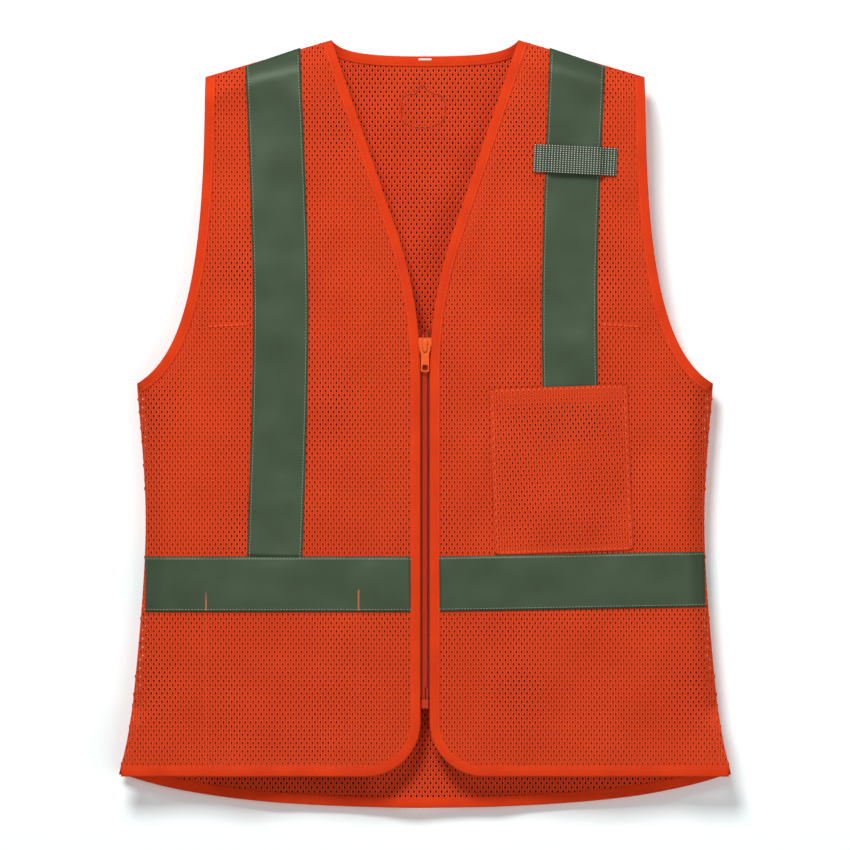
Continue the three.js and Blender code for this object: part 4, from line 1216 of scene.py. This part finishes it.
# The zip tape's colours are darkened to stand for the shade under the binding edges: painted shade.
zip_tape = woven_material("woven_zip_tape", "#9c2a14", "#7c1c0a", 0.7 * MM)
for hand in HANDS:
    low_corner, high_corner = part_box(f"{hand}_zip_tape")
    wide = high_corner.x - low_corner.x
    thick = (high_corner.y - low_corner.y) / 2
    steps = np.linspace(0.05, 1, 8) * wide
    loop = [(0, 0)] + [(s, thick) for s in steps] + [(s, -thick) for s in steps[::-1]]
    line = [(low_corner.x, low_corner.z), (low_corner.x, high_corner.z)]
    lower, upper = UNDER_COIL - UNDER_HALF, UNDER_COIL + UNDER_HALF
    under = [(0, lower), (UNDER_WIDTH, lower), (UNDER_WIDTH, upper), (0, upper)]
    left_edge = UNDER_INSET if hand == "left" else -UNDER_INSET - UNDER_WIDTH
    under_line = [(left_edge, feet[hand]), (left_edge, CHAIN_TOP)]
    strips = [
        ribbon("wide", line, loop, zip_tape, on_chain),
        ribbon("under", under_line, under, zip_tape, on_chain),
    ]
    strip = together(f"{hand}_woven_zip_tape", strips)
    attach(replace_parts(strip, f"{hand}_zip_tape"), f"{hand}_front")


def hardware_material(name, code, roughness, coat):
    """Painted or moulded hardware: even colour, scuffs that dull the gloss, and painted shade that darkens
    its corners and creases.
    """
    material, tree, shader = new_material(name)
    set_up(shader, IOR=1.5, Coat_Weight=coat, Coat_Roughness=0.15)
    shader.inputs["Specular IOR Level"].default_value = 0.3
    place = add(tree, "ShaderNodeTexCoord").outputs["Object"]
    scuffs = add(tree, "ShaderNodeTexNoise", {"Vector": place, "Scale": 420, "Detail": 5, "Roughness": 0.7})
    gloss = add(tree, "ShaderNodeMapRange", {
        "Value": scuffs.outputs["Fac"], "From Min": 0.35, "From Max": 0.7,
        "To Min": roughness, "To Max": roughness + 0.2,
    }).outputs[0]
    tree.links.new(gloss, shader.inputs["Roughness"])
    ramp = add(tree, "ShaderNodeValToRGB", {"Fac": scuffs.outputs["Fac"]})
    base = colour(code)
    ramp.color_ramp.elements[0].position, ramp.color_ramp.elements[1].position = 0.3, 0.75
    ramp.color_ramp.elements[0].color = [c * 0.85 for c in base[:3]] + [1]
    ramp.color_ramp.elements[1].color = base
    # Painted shade: ambient occlusion darkens the colour in corners and creases.
    corners = add(tree, "ShaderNodeAmbientOcclusion", {"Distance": 2.5 * MM}, samples=6).outputs["AO"]
    painted_corner_shade = add(tree, "ShaderNodeMapRange", {
        "Value": corners, "From Min": 0.3, "From Max": 0.75, "To Min": 0.12, "To Max": 1,
    }).outputs[0]
    shaded = add(
        tree, "ShaderNodeMix", {"Factor": 1.0, 6: ramp.outputs["Color"], 7: painted_corner_shade},
        data_type="RGBA", blend_type="MULTIPLY",
    ).outputs[2]
    tree.links.new(shaded, shader.inputs["Base Color"])
    peel = add(tree, "ShaderNodeTexNoise", {"Vector": place, "Scale": 1500, "Detail": 1}).outputs["Fac"]
    bump = add(tree, "ShaderNodeBump", {"Height": peel, "Strength": 0.15, "Distance": 0.05 * MM})
    tree.links.new(bump.outputs[0], shader.inputs["Normal"])
    return material


painted_zinc = hardware_material("painted_die_cast_zinc", "#ff641e", 0.3, 0.25)
moulded_acetal = hardware_material("moulded_acetal", "#cf3418", 0.4, 0.0)
for node, finish in (
    ("zip_slider", painted_zinc), ("zip_pull_tab", painted_zinc), ("zip_retainer_box", moulded_acetal),
    ("zip_insertion_pin", moulded_acetal), ("left_zip_top_stop", moulded_acetal),
    ("right_zip_top_stop", moulded_acetal),
):
    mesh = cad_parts[node].data
    mesh.materials.clear()
    mesh.materials.append(finish)


# ---- Sewing ----
# Lockstitch in spun polyester thread: orange on the bindings, hems and pockets, pale green on the
# tapes. Each stitch is a short twisted lump of thread pulled down at its ends.
STITCH_PITCH = 2.9 * MM
STITCH_LENGTH = 2.5 * MM
THREAD = 0.24 * MM


def stitch(name, length, radius):
    """One stitch along X: five rings of thread, thinner and lower towards its ends."""
    turns = np.linspace(0, 2 * math.pi, 6, endpoint=False)
    points = []
    rings = ((-1, 0.35), (-0.6, 0.9), (0, 1.1), (0.6, 0.9), (1, 0.35))
    for share, size in rings:
        sink = -0.8 * radius * share * share
        points += [
            (share * length / 2, radius * size * math.cos(a), sink + radius * size * math.sin(a))
            for a in turns
        ]
    return made(name, points, tube_faces(len(rings), len(turns)), coil_fibre)


orange_thread = thread_material("orange_polyester_thread", "#f2603a")
pale_thread = thread_material("pale_green_polyester_thread", "#a9b59c")
dark_thread = thread_material("dark_polyester_thread", "#1c0d08")
lockstitch = stitch("lockstitch", STITCH_LENGTH, THREAD)
fine_stitch = stitch("fine_stitch", STITCH_LENGTH, 0.9 * THREAD)


def finely(lines):
    """Seam lines with points close enough to follow the cloth."""
    return [(even(line, 2 * MM), lift) for line, lift in lines]


for hand in HANDS:
    for what, lines, thread, slot in (
        ("front", seams[hand], orange_thread, "binding"),
        ("tape", tape_seams[hand], pale_thread, "webbing"),
    ):
        name = f"{hand}_{what}_stitches"
        sewn = row_of(name, lockstitch, finely(lines), STITCH_PITCH, thread, on_front)
        folding(sewn)
for name, lines, thread, place in (
    ("armhole_stitches", seams["sides"], orange_thread, on_front),
    ("back_stitches", seams["back"], orange_thread, on_back),
    ("back_tape_stitches", tape_seams["back"], pale_thread, on_back),
    ("tab_stitches", tab_seams, pale_thread, on_front),
    ("patch_stitches", [patch_seam], dark_thread, on_back),
):
    copied = fine_stitch if thread is dark_thread else lockstitch
    sewn = row_of(name, copied, finely(lines), STITCH_PITCH, thread, place)
    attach(sewn, "back")

# Bartacks: short dense rows of zigzag at the two ends of the inner pocket's mouth, through the tape.
TACK_LENGTH = 19 * MM
TACK_PITCH = 0.5 * MM
TACK_INSET = 2 * MM
TACK_HALF = 0.01 * MM
tack_stitch = stitch("tack_stitch", 1.7 * MM, 0.2 * MM)
tack_rows = []
tack_reach = inner_size[0] / 2 - TACK_INSET
foot = -WAIST_TAPE_TOP - TAPE_WIDTH + 1.5 * MM
for x in (inner_middle[0] - tack_reach, inner_middle[0] + tack_reach):
    for z in foot + np.arange(0, TACK_LENGTH, TACK_PITCH):
        tack_rows.append(([(x - TACK_HALF, z), (x + TACK_HALF, z)], tape_top))
tack_thread = thread_material("tack_thread", "#f08a5c")
tacks = row_of("right_bartacks", tack_stitch, tack_rows, 1.0 * MM, tack_thread, on_front)
folding(tacks)
for tool in (lockstitch, fine_stitch, tack_stitch):
    bpy.data.objects.remove(tool)


# ---- Camera, light and ground ----
# A long lens square to the front, a large soft light from the upper left, and a pale card close
# behind the vest that takes its soft shadow. All of it is staging, and none of it is the object.
FRAME_WIDTH = 782 * MM
LENS = 300
SENSOR = 36
VIEW_HEIGHT = -354.2 * MM
camera = bpy.data.objects.new("camera", bpy.data.cameras.new("camera"))
camera.data.lens = LENS
camera.data.sensor_width = SENSOR
camera.location = (0, -FRAME_WIDTH * LENS / SENSOR, VIEW_HEIGHT)
camera.rotation_euler = (math.pi / 2, 0, 0)
bpy.context.scene.collection.objects.link(camera)
bpy.context.scene.camera = camera


def area_light(name, place, size, power, aim=(0, 0, VIEW_HEIGHT)):
    light = bpy.data.lights.new(name, "AREA")
    light.size = size
    light.energy = power
    obj = bpy.data.objects.new(name, light)
    obj.location = place
    toward = Vector(aim) - Vector(place)
    obj.rotation_euler = toward.to_track_quat("-Z", "Y").to_euler()
    bpy.context.scene.collection.objects.link(obj)


area_light("key", (-0.8, -2.8, 2.0), 1.1, 104)
area_light("fill", (1.3, -2.4, -1.1), 2.0, 15)
area_light("rear", (1.2, 2.6, 1.4), 1.6, 34)
area_light("rear_fill", (-2.2, 1.6, 0.3), 2.0, 9)

world = bpy.data.worlds.new("studio")
bpy.context.scene.world = world
world.use_nodes = True
background = world.node_tree.nodes["Background"]
background.inputs["Color"].default_value = (1, 1, 1, 1)
background.inputs["Strength"].default_value = 0.3
path = add(world.node_tree, "ShaderNodeLightPath")
seen = add(world.node_tree, "ShaderNodeBackground", {"Color": (1, 1, 1, 1), "Strength": 1.0})
mix = add(world.node_tree, "ShaderNodeMixShader", {
    0: path.outputs["Is Camera Ray"], 1: background.outputs[0], 2: seen.outputs[0],
})
world.node_tree.links.new(mix.outputs[0], world.node_tree.nodes["World Output"].inputs["Surface"])
bpy.context.scene.view_settings.view_transform = "Standard"


def stage_paper(name, tint):
    """Paper that only the camera sees, and only from its front side, so that it throws no light."""
    material = bpy.data.materials.new(name)
    material.use_nodes = True
    tree = material.node_tree
    tree.nodes.clear()
    paper = add(tree, "ShaderNodeBsdfDiffuse", {"Color": tint}).outputs[0]
    behind = add(tree, "ShaderNodeNewGeometry").outputs["Backfacing"]
    front_side = add(tree, "ShaderNodeMath", {0: 1.0, 1: behind}, operation="SUBTRACT").outputs[0]
    camera_ray = add(tree, "ShaderNodeLightPath").outputs["Is Camera Ray"]
    shown = add(tree, "ShaderNodeMath", {0: camera_ray, 1: front_side}, operation="MULTIPLY").outputs[0]
    clear = add(tree, "ShaderNodeBsdfTransparent").outputs[0]
    both = add(tree, "ShaderNodeMixShader", {0: shown, 1: clear, 2: paper})
    add(tree, "ShaderNodeOutputMaterial", {"Surface": both.outputs[0]})
    return material


# The card takes the vest's soft shadow. A dark sheet just behind the back fills its holes with painted
# shade.
CARD_Y = 24 * MM
SHADE_SHEET_LIFT = 1.6 * MM
SHADE_SHEET_INSET = 5 * MM
SHADE_SHEET_STEP = 6 * MM
SHADE_SHEET_TOP = 2.5 * MM
SHADE_SHEET_SLANT = 90 * MM
FLOOR_Z = -0.78
CARD_HALF = 0.6
FLOOR_HALF = 4
corner_signs = ((-1, -1), (1, -1), (1, 1), (-1, 1))
card_points = [(x * CARD_HALF, CARD_Y, VIEW_HEIGHT + z * CARD_HALF) for x, z in corner_signs]
card = made("card", card_points, [(0, 1, 2, 3)], stage_paper("white_card", (1.12, 1.2, 1.2, 1)))
outer_line = np.vstack([beside(line, SHADE_SHEET_INSET) for line in (ARMHOLE, SIDE, TAIL)])
outer_line = outer_line[np.argsort(-outer_line[:, 1])]
top_line = np.vstack([NECK, SHOULDER[1:]])
across = np.linspace(-1, 1, 61)
depths = np.arange(SHADE_SHEET_TOP, BACK_LENGTH - SHADE_SHEET_INSET, SHADE_SHEET_STEP)
shade_sheet_flat, shade_sheet_faces = [], []
for i, depth in enumerate(depths):
    wide = float(np.interp(depth, -outer_line[:, 1], outer_line[:, 0]))
    x = across * wide
    slant = 1 - min(depth / SHADE_SHEET_SLANT, 1)
    z = np.interp(np.abs(x), top_line[:, 0], top_line[:, 1]) * slant - depth
    shade_sheet_flat.append(np.stack([x, z, np.full(len(x), SHADE_SHEET_LIFT)], 1))
    if i:
        first = (i - 1) * len(across)
        below = first + len(across)
        shade_sheet_faces += [
            (first + k, first + k + 1, below + k + 1, below + k) for k in range(len(across) - 1)
        ]
# Painted shade: a near-black sheet that only the camera sees through the holes, standing for the shadow
# behind the vest.
painted_shade_paper = stage_paper("dark_lining", colour("#140a08"))
lining = made("lining", hung(np.vstack(shade_sheet_flat), BACK), shade_sheet_faces, painted_shade_paper)
lining.data.flip_normals()
floor_points = [(x * FLOOR_HALF, y * FLOOR_HALF, FLOOR_Z) for x, y in corner_signs]
floor = made("floor", floor_points, [(0, 1, 2, 3)], stage_paper("paper_floor", (2.6, 2.6, 2.6, 1)))
